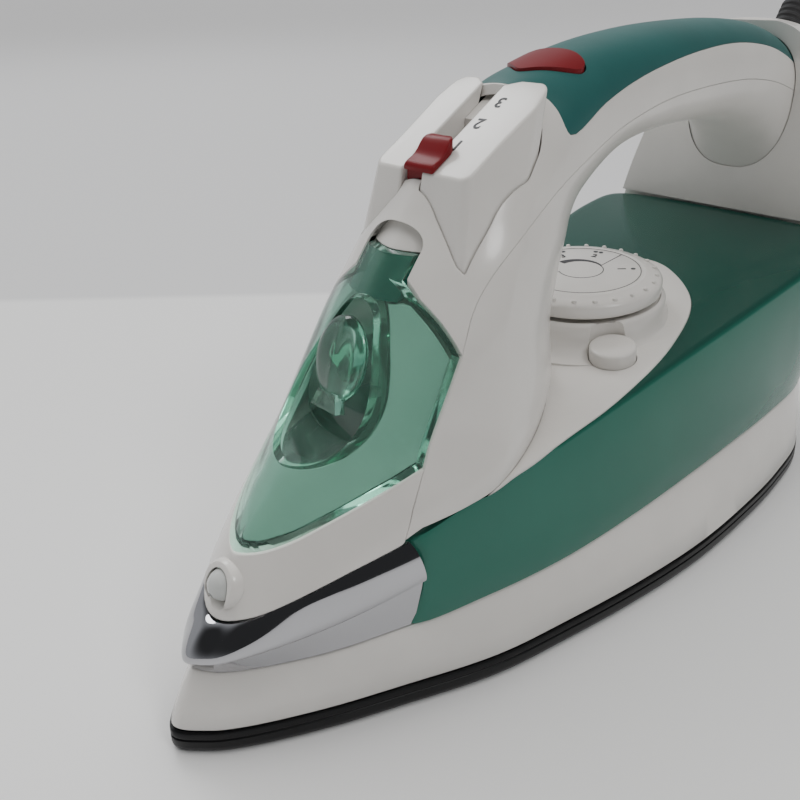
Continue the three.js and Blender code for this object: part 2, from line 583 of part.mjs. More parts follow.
function waterTank() {
  const middle = between(tankFoot, tankTop, 0.5, 0.8);
  const inner = loft([
    drawnIn(tankFoot, WALL, WALL + 1, WALL, WALL), drawnIn(middle, WALL, WALL + 2.5),
    drawnIn(tankTop, WALL, WALL, WALL, -WALL)]);
  const edge = drawnIn(deckRing, -0.6, -0.5, -0.4);
  const opening = loft([-12, 9].map(
    (lift) => edge.map((p) => new THREE.Vector3(p.x, p.y, deckHeight(p.y) + lift))));
  const holes = [
    rod(4.4, onDialAxis(24), onDialAxis(40)), rod(2.6, onCleanAxis(24), onCleanAxis(40), 12),
    rod(2.2, [burstPipe.x, burstPipe.y, 20], [burstPipe.x, burstPipe.y, 40], 12),
    rod(1.9, [dripValve.x, dripValve.y, 20], [dripValve.x, dripValve.y, 40], 12)];
  add("water_tank", tankOutside(0).subtract(inner).subtract(opening).subtract(union(holes)), tankGreen);
  add("dial_sleeve", sleeve(4.4, 6, onDialAxis(32.6), onDialAxis(64)), tankGreen);
  add("self_clean_sleeve", sleeve(2.6, 4.2, onCleanAxis(32.6), onCleanAxis(54), 14), tankGreen);
}

function deckCover() {
  const level = (lift) => deckRing.map((p) => new THREE.Vector3(p.x, p.y, deckHeight(p.y) + lift));
  const plate = loft([level(-DECK_THICKNESS), level(0)]);
  const collar = turned([[0, 0], [COLLAR_RADIUS + 3, 0], [COLLAR_RADIUS + 0.6, 5],
    [COLLAR_RADIUS, 7], [COLLAR_RADIUS, 12.5], [0, 12.5]], onDialAxis(63.5), dialAxis, 40);
  const below = sideProfile([[100, deckHeight(100) - 1], [240, deckHeight(240) - 1], [240, 0], [100, 0]]);
  const button = CLEAN_BUTTON.radius + 0.5;
  const holes = [
    rod(4.2, onDialAxis(50), onDialAxis(90), 20), rod(button, onCleanAxis(50), onCleanAxis(80), 28),
    rod(2.2, [burstPipe.x, burstPipe.y, 40], [burstPipe.x, burstPipe.y, 70], 12),
    rod(2.4, [dripValve.x, dripValve.y, 40], [dripValve.x, dripValve.y, 70], 12)];
  const cover = plate.add(collar.subtract(below).subtract(upperBody(-GAP)));
  add("deck_cover", cover.subtract(union(holes)), whitePlastic);
}

function temperatureDial() {
  const height = DIAL.top - 5.8;
  const base = onDialAxis(height);
  const profile = [[0, 0], [25, 0], [DIAL.radius, 0.8], [DIAL.radius, 3.6], [24.6, 4.7],
    [20.4, 5.8], [0, 5.8]];
  let dial = turned(profile, base, dialAxis, 36);
  const nubs = 24;
  const tilt = new THREE.Quaternion().setFromUnitVectors(
    new THREE.Vector3(0, 0, 1), new THREE.Vector3(...dialAxis).normalize());
  for (let i = 0; i < nubs; i++) {
    const angle = (2 * Math.PI * i) / nubs;
    const spot = new THREE.Vector3(23.6 * Math.cos(angle), 23.6 * Math.sin(angle), 4.9);
    spot.applyQuaternion(tilt).add(new THREE.Vector3(...base));
    dial = dial.add(moved(new THREE.OctahedronGeometry(0.9), spot.x, spot.y, spot.z));
  }
  add("temperature_dial", dial, whitePlastic);
  add("dial_shaft", rod(3.4, onDialAxis(28), onDialAxis(height - GAP), 16), brass);
}

function selfCleanButton() {
  const { radius, top } = CLEAN_BUTTON;
  add("self_clean_button", turned(
    [[0, 0], [radius, 0], [radius, 6.4], [radius - 1, 7.4], [0, 7.4]],
    onCleanAxis(top - 7.4), deckNormal, 28), whitePlastic);
  add("self_clean_rod", rod(1.8, onCleanAxis(21), onCleanAxis(top - 7.4 - GAP), 12), steel);
  add("self_clean_spring", spring(onCleanAxis(55), deckNormal, 3.2, 3.8, 3, 0.7), steel);
}

// ---- handle ----
const padTop = (y) => PAD_START.z + PAD_SLOPE * (y - PAD_START.y);
const pressAxis = new THREE.Vector3(0, 0.3, 0.954).normalize(); // out of the pads, up and back
const padDraft = 0.12;

// A pad as a leaning block: its outline in plan at the top, wider at its outer side lower down.
function padBlock(outline, grow, above, depth) {
  const level = (down) => outline.map(([x, y]) => {
    const outward = Math.abs(x) > 10 ? Math.sign(x) * padDraft * Math.max(down, 0) : 0;
    return new THREE.Vector3(x + outward, y, padTop(y)).addScaledVector(pressAxis, -down);
  });
  const grown = (ring) => {
    const centre = ring.reduce((sum, p) => sum.add(p), new THREE.Vector3()).divideScalar(ring.length);
    return ring.map((p) => {
      const away = p.clone().sub(centre);
      away.x += Math.sign(away.x) * grow;
      away.y += Math.sign(away.y) * grow;
      return centre.clone().add(away);
    });
  };
  return loft([grown(level(-above)), grown(level(depth))]);
}

const corner = (x, y, radius, start, steps = 3) => Array.from({ length: steps + 1 }, (_, i) => {
  const angle = start + (Math.PI / 2) * (i / steps);
  return [x + radius * Math.cos(angle), y + radius * Math.sin(angle)];
});
const leftPad = [
  [CHANNEL.left, 87.2], ...corner(12.8, 90.2, 3, -Math.PI / 2), [15.8, 100], [16.4, 109],
  ...corner(10.6, 112.8, 5.6, 0), [6, 118.4], [CHANNEL.left, 116.8],
];
const rightPad = [
  [CHANNEL.right, 116.8], [-8, 118.4], ...corner(-10.2, 112.8, 5.6, Math.PI / 2),
  [-15.4, 109], [-15, 100], ...corner(-12, 90.2, 3, Math.PI), [CHANNEL.right, 87.2],
];

function padPocket() {
  const channel = sideProfile([[87.9, padTop(88) + 6], [118.6, padTop(118.6) + 6],
    [112, padTop(118.6) - 22], [87.9, padTop(88) - 22]], CHANNEL.right - 0.6, CHANNEL.left + 0.6);
  return padBlock(leftPad, PAD_CLEARANCE, 12, PAD_DEPTH + 6)
    .add(padBlock(rightPad, PAD_CLEARANCE, 12, PAD_DEPTH + 6)).add(channel);
}

function lampLens(grow, outside, inside) {
  const half = [[0.6, 124.5], [5, 127.6], [9.4, 131.4], [11.6, 134.6], [10.8, 137.6], [6.5, 139.7],
    [0.6, 140.4]];
  const right = backwards(half).map(([x, y]) => [-x, y]);
  const outline = [...half, ...right].map(([x, y]) => new THREE.Vector2(
    x + Math.sign(x) * grow, y + Math.sign(y - 132) * grow));
  const column = new THREE.ExtrudeGeometry(new THREE.Shape(outline), { depth: 30, bevelEnabled: false });
  return moved(column, 0, 0, 132).intersect(outside).subtract(inside);
}

function handleShells() {
  const pocket = padPocket();
  const tabRoom = box(-tabHalfWidth - 0.4, tabHalfWidth + 0.4, 55, 83, 100, tabTop + 0.4);
  const shell = skin.intersect(shellRegion).subtract(notch).subtract(tabRoom);
  add("handle_shell", biggest(shell.subtract(pocket)), whitePlastic);
  add("body_shell", biggest(skin.intersect(bodyRegion)), whitePlastic);
  const lensRoom = lampLens(GAP, upperBody(-4), upperBody(6));
  add("handle_grip", biggest(skin.intersect(gripRegion).subtract(pocket).subtract(lensRoom)), gripGreen);
  add("pilot_lens", lampLens(0, upperBody(-0.7), upperBody(2)), clearRed);
  add("pilot_lamp", rod(2.4, [0, 127, 138.6], [0, 138, 141.2], 10), brass);
}

function buttons() {
  add("spray_button", padBlock(leftPad, 0, 0, PAD_DEPTH), whitePlastic);
  add("steam_burst_button", padBlock(rightPad, 0, 0, PAD_DEPTH), whitePlastic);
  const onSlope = (distance, lift) => {
    const y = PAD_START.y + distance / Math.hypot(1, PAD_SLOPE);
    return [y, padTop(y) + lift];
  };
  const capSide = [[-1, 0.4], [-1.2, 1.5], [0.4, 1.9], [3.6, 2], [5.4, 3.2], [7.2, 3.4], [8.6, 2.6],
    [9.4, 0.4]];
  const cap = sideProfile(capSide.map(([d, lift]) => onSlope(d, lift)), -4.2, 5.4);
  const stemSide = [[0.4, 1], [0.4, -22], [7.4, -25], [7.4, 1]];
  const stem = sideProfile(stemSide.map(([d, lift]) => onSlope(d, lift)), -4.4, 0.9);
  add("steam_slider", cap.add(stem), clearRed);
  const linkSide = [[1.4, -22.8], [1.4, -33.2], [5.4, -33.2], [5.4, -24.6]];
  add("slider_link", sideProfile(linkSide.map(([d, lift]) => onSlope(d, lift)), -3.4, 0), steel);
}

// ---- inside the handle: carrier, pumps and the drip valve ----
const CARRIER_DROP = 35; // straight down from the pads' tops
const PUMP_Y = 104; // where the pump's axis meets the pad's top

const onPress = (x, y, down) => new THREE.Vector3(x, y, padTop(y))
  .addScaledVector(pressAxis, -down).toArray();

function pump(name, x) {
  const at = (down) => onPress(x, PUMP_Y, down);
  add(name + "_pump_body", sleeve(2.6, 5.2, at(66), at(52.6), 16), innerPlastic);
  add(name + "_piston", rod(1.9, at(60), at(PAD_DEPTH + 3), 12), brass);
  add(name + "_spring", spring(at(39), pressAxis.toArray(), 3.3, 11, 4, 0.8), steel);
}

function carrier() {
  const edge = (y, drop) => [y, padTop(y) - drop];
  const plate = sideProfile([edge(77, CARRIER_DROP), edge(114, CARRIER_DROP),
    edge(114, CARRIER_DROP + 2), edge(77, CARRIER_DROP + 2)]);
  const holes = [8, -10.5].map((x) => rod(3, onPress(x, PUMP_Y, 38), onPress(x, PUMP_Y, 52), 12));
  const room = upperBody(WALL + GAP);
  add("button_carrier", plate.intersect(room).subtract(union(holes)), innerPlastic);
}

function pipes() {
  add("spray_pipe", tube([[8, 82.4, 71.2], [8, 78, 62], [5, 64, 57], [2, 52, 54], [0, 40, 49],
    [0, 28, 43.4]], 1.5, 16, 6), rubber);
  add("burst_pipe", rod(1.6, [burstPipe.x, burstPipe.y, 16.4], [burstPipe.x, burstPipe.y, 71], 10), rubber);
  const { x, y } = dripValve;
  add("drip_valve_seat", sleeve(1.9, 4.2, [x, y, 16.2], [x, y, 25.8], 14), brass);
  add("drip_valve_needle", turned([[0, 0], [1.4, 3], [1.4, 80], [0, 80]], [x, y, 18], [0, 0, 1], 12), steel);
}

// ---- heel ----
const FEET = { lower: [28, 50], upper: [22, 104] }; // x and z of the feet on the heel's back

function heelCover() {
  const halfOutline = [[0, 150.8], [10, 150], [17, 147], [21.6, 141.5], [24, 134], [28, 127.6],
    [33, 118], [38, 104], [41.6, 92], [44.2, 80], [45, 62], [43, 46], [38, 37], [29, 32.2]];
  const across = (inset) => {
    const half = halfOutline.map(([x, z]) => [Math.max(x - inset, 0), z + (z > 140 ? -inset : 0)]);
    if (inset) half.forEach((p) => { p[1] = Math.max(p[1], 32.2 + inset); });
    return frontProfile([...half, ...backwards(half).slice(0, -1).map(([x, z]) => [-x, z])], 240, 300);
  };
  const outside = sideProfile([[255, 84.2], [255, 150.8], [259, 150.8], [262, 148.9], [288, 129.4],
    [291, 126], [HEEL_BACK, 121], [HEEL_BACK, 46], [290.4, 38.6], [286, 34], [280, 32.2],
    [257.6, 32.2], [257.6, 84.2]]);
  const inside = sideProfile([[250, 34.8], [250, 80], [257.7, 80], [257.7, 148.2], [260.6, 147.3],
    [286.6, 127.8], [289.4, 121], [289.4, 46], [285, 37], [280, 34.8]]);
  const wireSlot = box(-18, 18, 250, 260.6, 30, 40);
  const collarHole = rod(12.8, inGland(-12), inGland(20), 28);
  const fixings = [];
  for (const [x, z] of Object.values(FEET))
    for (const side of [x, -x]) fixings.push(rod(2.3, [side, 280, z], [side, 300, z], 10));
  for (const x of [-10, 10]) fixings.push(rod(1.9, [x, 280, 68], [x, 300, 68], 10));
  const shell = across(0).intersect(outside).subtract(across(WALL).intersect(inside));
  const cuts = union([upperBody(-GAP), wireSlot, collarHole, ...fixings]);
  add("heel_cover", biggest(shell.subtract(cuts)), whitePlastic);
}

const inGland = (t) => [0, GLAND.y + GLAND.axis[1] * t, GLAND.z + GLAND.axis[2] * t];

function heelFittings() {
  for (const [level, [x, z]] of Object.entries(FEET))
    for (const [side, sx] of [["left", x], ["right", -x]])
      add("heel_foot_" + level + "_" + side, turned([[0, 0], [5.6, 0], [6, 0.6], [6, 3.7], [2, 3.7],
        [2, 8], [0, 8]], [sx, IRON_LENGTH, z], [0, -1, 0], 14), rubber);
  for (const [side, x] of [["left", 10], ["right", -10]])
    add("heel_screw_" + side, turned([[0, 0], [3.4, 0], [3.4, 1.8], [1.6, 1.8], [1.6, 14], [0, 14]],
      [x, HEEL_BACK + GAP + 1.8, 68], [0, -1, 0], 10), steel);
  add("terminal_block", box(-13, 13, 274, 288.6, 76, 92), innerPlastic);
  for (const [side, s] of [["left", 1], ["right", -1]])
    add("lead_" + side, tube([[14 * s, 243.8, 16.5], [14 * s, 252, 17], [14 * s, 258.9, 25],
      [13 * s, 258.9, 37], [8 * s, 270, 60], [6 * s, 280, 75.6]], 1, 16, 6), silicone);
}

// The ball of the cord's gland sits in a collar, which is pressed in the heel cover's top corner.
function cordGland() {
  const seat = GLAND.ball + 0.4;
  const arc = (radius, from, to, steps) => Array.from({ length: steps + 1 }, (_, i) => {
    const h = from + ((to - from) * i) / steps;
    return [Math.sqrt(radius * radius - h * h), h];
  });
  add("gland_collar", turned([...arc(seat, -5, 5.2, 4), [8.9, 7], [12.5, 5.4], [12.5, -5],
    arc(seat, -5, -5, 1)[0]].reverse(), inGland(0), GLAND.axis, 22), whitePlastic);
  const ball = arc(GLAND.ball, -7, 7.48, 6);
  add("cord_gland", turned([[GLAND.bore, -7], ...ball, [GLAND.stem, 8.6], [GLAND.stem, 23],
    [GLAND.stem - 0.8, 24], [GLAND.bore, 24], [GLAND.bore, -7]], inGland(0), GLAND.axis, 16), rubber);
}

soleplate();
steamChamber();
heatShield();
skirt();
noseTrim();
frontCover();
frontWindow();
fillerLid();
waterTank();
deckCover();
temperatureDial();
selfCleanButton();
handleShells();
buttons();
carrier();
pump("spray", 8);
pump("burst", -10.5);
pipes();
heelCover();
heelFittings();
cordGland();

export default iron;
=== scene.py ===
"""The steam iron's visual model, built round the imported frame. Shapes are worked out in millimetres
with Y measured back from the nose tip, and put in the row frame as each piece is made."""

import json
import math

import bpy
import bmesh
from mathutils import Matrix, Vector


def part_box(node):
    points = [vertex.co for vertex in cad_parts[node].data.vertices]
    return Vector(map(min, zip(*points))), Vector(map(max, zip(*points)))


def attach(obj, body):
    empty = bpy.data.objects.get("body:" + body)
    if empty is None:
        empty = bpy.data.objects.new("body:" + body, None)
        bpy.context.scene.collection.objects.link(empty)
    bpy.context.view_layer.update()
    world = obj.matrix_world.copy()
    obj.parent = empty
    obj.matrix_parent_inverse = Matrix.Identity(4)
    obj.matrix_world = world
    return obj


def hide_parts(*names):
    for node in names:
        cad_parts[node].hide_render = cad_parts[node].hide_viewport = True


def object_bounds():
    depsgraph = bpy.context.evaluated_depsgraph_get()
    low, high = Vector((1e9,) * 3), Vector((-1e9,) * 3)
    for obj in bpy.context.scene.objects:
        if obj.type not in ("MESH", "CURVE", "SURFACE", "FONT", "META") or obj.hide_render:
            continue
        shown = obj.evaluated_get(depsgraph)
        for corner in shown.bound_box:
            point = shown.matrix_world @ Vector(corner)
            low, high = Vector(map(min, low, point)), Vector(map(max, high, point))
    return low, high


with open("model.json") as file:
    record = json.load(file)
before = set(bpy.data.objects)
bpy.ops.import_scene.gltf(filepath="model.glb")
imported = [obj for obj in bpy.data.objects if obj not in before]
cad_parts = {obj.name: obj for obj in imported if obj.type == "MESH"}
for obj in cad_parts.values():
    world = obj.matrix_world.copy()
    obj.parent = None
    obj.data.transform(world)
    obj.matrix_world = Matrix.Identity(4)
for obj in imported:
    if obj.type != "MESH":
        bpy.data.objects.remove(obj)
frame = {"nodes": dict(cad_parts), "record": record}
cad_low, cad_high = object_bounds()

MM = 0.001
NOSE_Y = cad_low[1]  # the nose tip, in the row frame
DETAIL = 2
WALL = 2.5
GAP = 0.3
SOLE_TOP = 7.2
DECK_SLOPE = 0.153
DIAL_TOP = 83
DIAL_AXIS = Vector((0, -0.06, 1)).normalized()
PAD_SLOPE = 0.56
PAD_FRONT = 88
PAD_DRAFT = 0.12
PAD_FRONT_DRAFT = 0.1
PAD_CLEARANCE = 0.4
CAMERA_PLACE = (136.16, -49.92, 170.45)
CAMERA_TURN = (46.36, 28.70, -1.30)  # azimuth, elevation and roll, in degrees


def row_point(p):
    return Vector((p[0] * MM, p[1] * MM + NOSE_Y, p[2] * MM))


# ---------------------------------------------------------------- camera, light and floor
def make_camera():
    """Stands the camera in its place, and gives the way that it looks."""
    azimuth, elevation, roll = (math.radians(a) for a in CAMERA_TURN)
    ahead = Vector((-math.sin(azimuth) * math.cos(elevation),
                    math.cos(azimuth) * math.cos(elevation), -math.sin(elevation)))
    right = Vector((math.cos(azimuth), math.sin(azimuth), 0))
    up = right.cross(ahead)
    turned_right = right * math.cos(roll) + up * math.sin(roll)
    turned_up = up * math.cos(roll) - right * math.sin(roll)
    data = bpy.data.cameras.new("camera")
    data.sensor_width = 36
    data.lens = 36
    data.clip_start = 0.01
    camera = bpy.data.objects.new("camera", data)
    bpy.context.scene.collection.objects.link(camera)
    matrix = Matrix((turned_right, turned_up, -ahead)).transposed().to_4x4()
    matrix.translation = row_point(CAMERA_PLACE)
    camera.matrix_world = matrix
    bpy.context.scene.camera = camera
    return ahead


def area_light(name, where, target, size, power, colour=(1, 1, 1)):
    """A round softbox, turned towards its target."""
    data = bpy.data.lights.new(name, "AREA")
    data.shape = "DISK"
    data.size = size
    data.energy = power
    data.color = colour
    lamp = bpy.data.objects.new(name, data)
    bpy.context.scene.collection.objects.link(lamp)
    lamp.location = where
    lamp.rotation_euler = (Vector(target) - Vector(where)).to_track_quat("-Z", "Y").to_euler()


# ---------------------------------------------------------------- materials
def set_range(node, low, high, first, last):
    for socket, value in (("From Min", low), ("From Max", high), ("To Min", first), ("To Max", last)):
        node.inputs[socket].default_value = value


class Nodes:
    """A short way to build a node tree."""

    def __init__(self, name):
        self.material = bpy.data.materials.new(name)
        self.material.use_nodes = True
        self.tree = self.material.node_tree
        self.tree.nodes.clear()
        self.shader = self.add("ShaderNodeBsdfPrincipled")
        self.output = self.add("ShaderNodeOutputMaterial")
        self.link(self.shader, "BSDF", self.output, "Surface")

    def add(self, kind, **values):
        node = self.tree.nodes.new(kind)
        for key, value in values.items():
            setattr(node, key, value)
        return node

    def link(self, a, out, b, into):
        self.tree.links.new(a.outputs[out], b.inputs[into])

    def noise(self, scale, detail=4.0, roughness=0.5):
        where = self.add("ShaderNodeTexCoord")
        node = self.add("ShaderNodeTexNoise")
        self.link(where, "Object", node, "Vector")
        node.inputs["Scale"].default_value = scale
        node.inputs["Detail"].default_value = detail
        node.inputs["Roughness"].default_value = roughness
        return node

    def ramp(self, source, out, low, high, first, last):
        node = self.add("ShaderNodeMapRange")
        self.link(source, out, node, "Value")
        set_range(node, low, high, first, last)
        return node

    def mix(self, factor, out, first, second):
        node = self.add("ShaderNodeMix", data_type="RGBA")
        self.link(factor, out, node, "Factor")
        node.inputs["A"].default_value = (*first, 1)
        node.inputs["B"].default_value = (*second, 1)
        return node

    def bump(self, source, out, strength, distance, normal=None):
        node = self.add("ShaderNodeBump")
        node.inputs["Strength"].default_value = strength
        node.inputs["Distance"].default_value = distance
        self.link(source, out, node, "Height")
        if normal:
            self.link(normal, "Normal", node, "Normal")
        return node

    def gloss(self, source, low, high, first, last):
        self.link(self.ramp(source, "Fac", low, high, first, last), "Result", self.shader, "Roughness")

    def colour(self, factor, out, first, second):
        self.link(self.mix(factor, out, first, second), "Result", self.shader, "Base Color")

    def relief(self, scale, detail, strength, distance, normal=None):
        fine = self.noise(scale, detail)
        self.link(self.bump(fine, "Fac", strength, distance, normal), "Normal", self.shader, "Normal")

    def set(self, **values):
        for key, value in values.items():
            self.shader.inputs[key.replace("_", " ")].default_value = value


def plastic(name, colour, rough, spread=0.06, shade=0.94, grain=900, bump=0.04, edge=0.0003, **more):
    """Moulded plastic: faint patches in its colour, handling marks in its gloss, a fine moulded skin."""
    n = Nodes(name)
    patches = n.ramp(n.noise(38, 5), "Fac", 0.35, 0.65, 0, 1)
    n.colour(patches, "Result", tuple(c * shade for c in colour), colour)
    n.gloss(n.noise(90, 6, 0.65), 0.2, 0.8, rough - spread / 3, rough + spread / 2)
    rounding = None
    if edge:
        rounding = n.add("ShaderNodeBevel", samples=4)
        rounding.inputs["Radius"].default_value = edge
    n.relief(grain, 2, bump, 0.00008, rounding)
    n.set(**more)
    return n.material


def clear(name, colour, rough, weight, density=0.0, tint=(0, 0.5, 0.4), **more):
    """Transparent coloured plastic with faint smears and a slight moulding wave."""
    n = Nodes(name)
    n.gloss(n.noise(70, 5, 0.6), 0.25, 0.8, rough, rough + 0.05)
    n.colour(n.noise(30, 3), "Fac", tuple(c * 0.93 for c in colour), colour)
    n.relief(60, 1, 0.06, 0.0004)
    n.set(Transmission_Weight=weight, IOR=1.46, **more)
    if density:
        volume = n.add("ShaderNodeVolumeAbsorption")
        volume.inputs["Color"].default_value = (*tint, 1)
        volume.inputs["Density"].default_value = density
        n.link(volume, "Volume", n.output, "Volume")
    return n.material


def tank_plastic():
    """Translucent green with painted shade: the more a face turns upward, the darker its colour, so its
    top is darker than its walls.
    """
    n = Nodes("tank_green")
    n.gloss(n.noise(60, 5, 0.6), 0.25, 0.8, 0.2, 0.27)
    facing = n.add("ShaderNodeNewGeometry")
    parts = n.add("ShaderNodeSeparateXYZ")
    n.link(facing, "Normal", parts, "Vector")
    # painted shade: faces turned upward are blended towards a deep dark green
    level = n.ramp(parts, "Z", 0.35, 0.95, 0, 1)
    walls = n.mix(n.noise(26, 4), "Fac", (0.028, 0.165, 0.118), (0.040, 0.215, 0.155))
    top_shaded_colour = n.mix(level, "Result", (1, 1, 1), (0.013, 0.078, 0.058))
    n.link(walls, "Result", top_shaded_colour, "A")
    n.link(top_shaded_colour, "Result", n.shader, "Base Color")
    n.relief(60, 1, 0.06, 0.0004)
    n.set(Transmission_Weight=0.2, IOR=1.46, Specular_IOR_Level=0.3)
    return n.material


def metal(name, colour, rough, spread=0.05, brushed=False):
    """Metal with smears in its gloss and colour, and fine lines if it's brushed."""
    n = Nodes(name)
    smears = n.noise(60, 6, 0.7)
    n.gloss(smears, 0.35, 0.75, rough, rough + spread)
    n.colour(smears, "Fac", tuple(c * 0.92 for c in colour), colour)
    n.relief(1400 if brushed else 260, 2, 0.12 if brushed else 0.03, 0.0001)
    n.set(Metallic=1.0)
    return n.material


WHITE = plastic("white_plastic", (0.77, 0.745, 0.71), 0.24, Coat_Weight=0.25, Coat_Roughness=0.1)
PALE = plastic("inner_plastic", (0.72, 0.72, 0.68), 0.45)
# painted shade: the white liner behind the window is painted a dark grey-green, in place of the shadow
# the window glass would cast on it
SHADED_LINER = plastic("window_liner_painted_shade", (0.31, 0.41, 0.375), 0.5)
SOLE = plastic("sole_coat", (0.006, 0.006, 0.007), 0.36, shade=0.8, bump=0.12,
               Specular_IOR_Level=0.25)
GRIP = plastic("grip_green", (0.022, 0.115, 0.108), 0.42, shade=0.88, grain=2600, bump=0.3)
RUBBER = plastic("rubber", (0.045, 0.045, 0.047), 0.7, grain=1500, bump=0.3)
SILICONE = plastic("silicone", (0.45, 0.43, 0.4), 0.6)
INK = plastic("print_ink", (0.05, 0.05, 0.055), 0.5, edge=0)
PHENOLIC = plastic("heat_plastic", (0.06, 0.035, 0.025), 0.5)
CHROME = metal("chrome", (0.45, 0.45, 0.47), 0.035, 0.05)
STEEL = metal("steel", (0.55, 0.56, 0.57), 0.28, 0.15, brushed=True)
BRASS = metal("brass", (0.6, 0.43, 0.2), 0.3, 0.12)
WINDOW = clear("clear_green", (0.66, 0.90, 0.80), 0.03, 0.97, 95, (0.16, 0.66, 0.50))
DEEP_GREEN = clear("deep_green", (0.008, 0.075, 0.058), 0.2, 0.05)
RED = clear("clear_red", (0.24, 0.009, 0.014), 0.3, 0.25, Specular_IOR_Level=0.14)
NOZZLE = clear("nozzle_plastic", (0.86, 0.88, 0.86), 0.12, 0.35)
TANK = tank_plastic()

SLOT_MATERIALS = {
    "sole_coat": SOLE, "white_plastic": WHITE, "inner_plastic": PALE, "chrome": CHROME,
    "clear_green": WINDOW, "tank_green": TANK, "grip_green": GRIP, "clear_red": RED,
    "rubber": RUBBER, "silicone": SILICONE, "steel": STEEL, "brass": BRASS, "heat_plastic": PHENOLIC,
}
SLOT_OF = {part["node"]: part["material_slot"] for part in frame["record"]["subparts"]}
BODY_OF = {node: body for body, members in frame["record"]["behaviour"]["bodies"].items()
           for node in members}


# ---------------------------------------------------------------- solids
def solid(verts, faces):
    """A closed mesh object in working millimetres, with its faces turned outwards."""
    mesh = bpy.data.meshes.new("solid")
    mesh.from_pydata([tuple(v) for v in verts], [], faces)
    bm = bmesh.new()
    bm.from_mesh(mesh)
    bmesh.ops.remove_doubles(bm, verts=bm.verts, dist=1e-4)
    bmesh.ops.dissolve_degenerate(bm, edges=bm.edges, dist=1e-5)
    bmesh.ops.recalc_face_normals(bm, faces=bm.faces)
    if bm.calc_volume(signed=True) < 0:
        bmesh.ops.reverse_faces(bm, faces=bm.faces)
    bm.to_mesh(mesh)
    bm.free()
    made = bpy.data.objects.new("solid", mesh)
    bpy.context.scene.collection.objects.link(made)
    return made


def loft(rings, around=False):
    """A skin through rings of equal counts, closed at its ends by fans, or round on itself."""
    count = len(rings[0])
    verts = [p for ring in rings for p in ring]
    faces = []
    spans = len(rings) if around else len(rings) - 1
    for i in range(spans):
        n = (i + 1) % len(rings)
        for j in range(count):
            k = (j + 1) % count
            faces.append((i * count + j, i * count + k, n * count + k, n * count + j))
    if not around:
        for end in (0, len(rings) - 1):
            hub = len(verts)
            verts.append(sum((Vector(p) for p in rings[end]), Vector()) / count)
            for j in range(count):
                faces.append((hub, end * count + j, end * count + (j + 1) % count))
    return solid(verts, faces)


def prism(points, to_space, near, far):
    """An outline swept straight from near to far. to_space(a, b, depth) gives a point in space."""
    count = len(points)
    verts = [to_space(a, b, near) for a, b in points] + [to_space(a, b, far) for a, b in points]
    faces = [tuple(range(count)), tuple(range(2 * count - 1, count - 1, -1))]
    faces += [(j, (j + 1) % count, count + (j + 1) % count, count + j) for j in range(count)]
    return solid(verts, faces)


def side_prism(points, near=-90, far=90):
    return prism(points, lambda y, z, x: Vector((x, y, z)), near, far)


def front_prism(points, near, far):
    return prism(points, lambda x, z, y: Vector((x, y, z)), near, far)


def turned(profile, base, axis=(0, 0, 1), sides=64):
    """A turned solid: (radius, height) points about an axis through base."""
    axis = Vector(axis).normalized()
    across = Vector((1, 0, 0))
    third = axis.cross(across)
    base = Vector(base)
    rings = []
    for radius, height in profile:
        rings.append([base + axis * height + across * (max(radius, 0) * math.cos(a))
                      + third * (max(radius, 0) * math.sin(a))
                      for a in (2 * math.pi * i / sides for i in range(sides))])
    closed = profile[0] == profile[-1]
    return loft(rings[:-1] if closed else rings, closed)


def rod(radius, start, end, sides=32):
    along = Vector(end) - Vector(start)
    length = along.length
    return turned([(0, 0), (radius, 0), (radius, length), (0, length)], start, along, sides)


def combine(first, second, operation):
    """first joined with, cut by or kept inside second, which is used up."""
    modifier = first.modifiers.new("join", "BOOLEAN")
    modifier.operation = operation
    modifier.solver = "MANIFOLD"
    modifier.object = second
    result = bpy.data.meshes.new_from_object(
        first.evaluated_get(bpy.context.evaluated_depsgraph_get()))
    first.modifiers.clear()
    old = first.data
    first.data = result
    bpy.data.meshes.remove(old)
    remove(second)
    return first


def remove(thing):
    mesh = thing.data
    bpy.data.objects.remove(thing)
    bpy.data.meshes.remove(mesh)


def cut(first, *tools):
    for tool in tools:
        combine(first, tool, "DIFFERENCE")
    return first


def join(first, *tools):
    for tool in tools:
        combine(first, tool, "UNION")
    return first


def keep(first, tool):
    return combine(first, tool, "INTERSECT")


def biggest(thing):
    """Keeps only the largest connected piece."""
    bm = bmesh.new()
    bm.from_mesh(thing.data)
    seen = set()
    groups = []
    for start in bm.verts:
        if start in seen:
            continue
        group, stack = [], [start]
        seen.add(start)
        while stack:
            v = stack.pop()
            group.append(v)
            for edge in v.link_edges:
                other = edge.other_vert(v)
                if other not in seen:
                    seen.add(other)
                    stack.append(other)
        groups.append(group)
    groups.sort(key=len)
    for group in groups[:-1]:
        bmesh.ops.delete(bm, geom=group, context="VERTS")
    bm.to_mesh(thing.data)
    bm.free()
    return thing


def piece(thing, name, material, *nodes, body=None, slot=None, sharp=38):
    """Puts a finished solid in the row frame, smooths it, and has it stand for its CAD nodes."""
    thing.name = name
    for vertex in thing.data.vertices:
        vertex.co = row_point(vertex.co)
    thing.data.materials.clear()
    thing.data.materials.append(material)
    thing.data.shade_smooth()
    thing.data.set_sharp_from_angle(angle=math.radians(sharp))
    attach(thing, body or BODY_OF[nodes[0]])
    if nodes:
        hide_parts(*nodes)


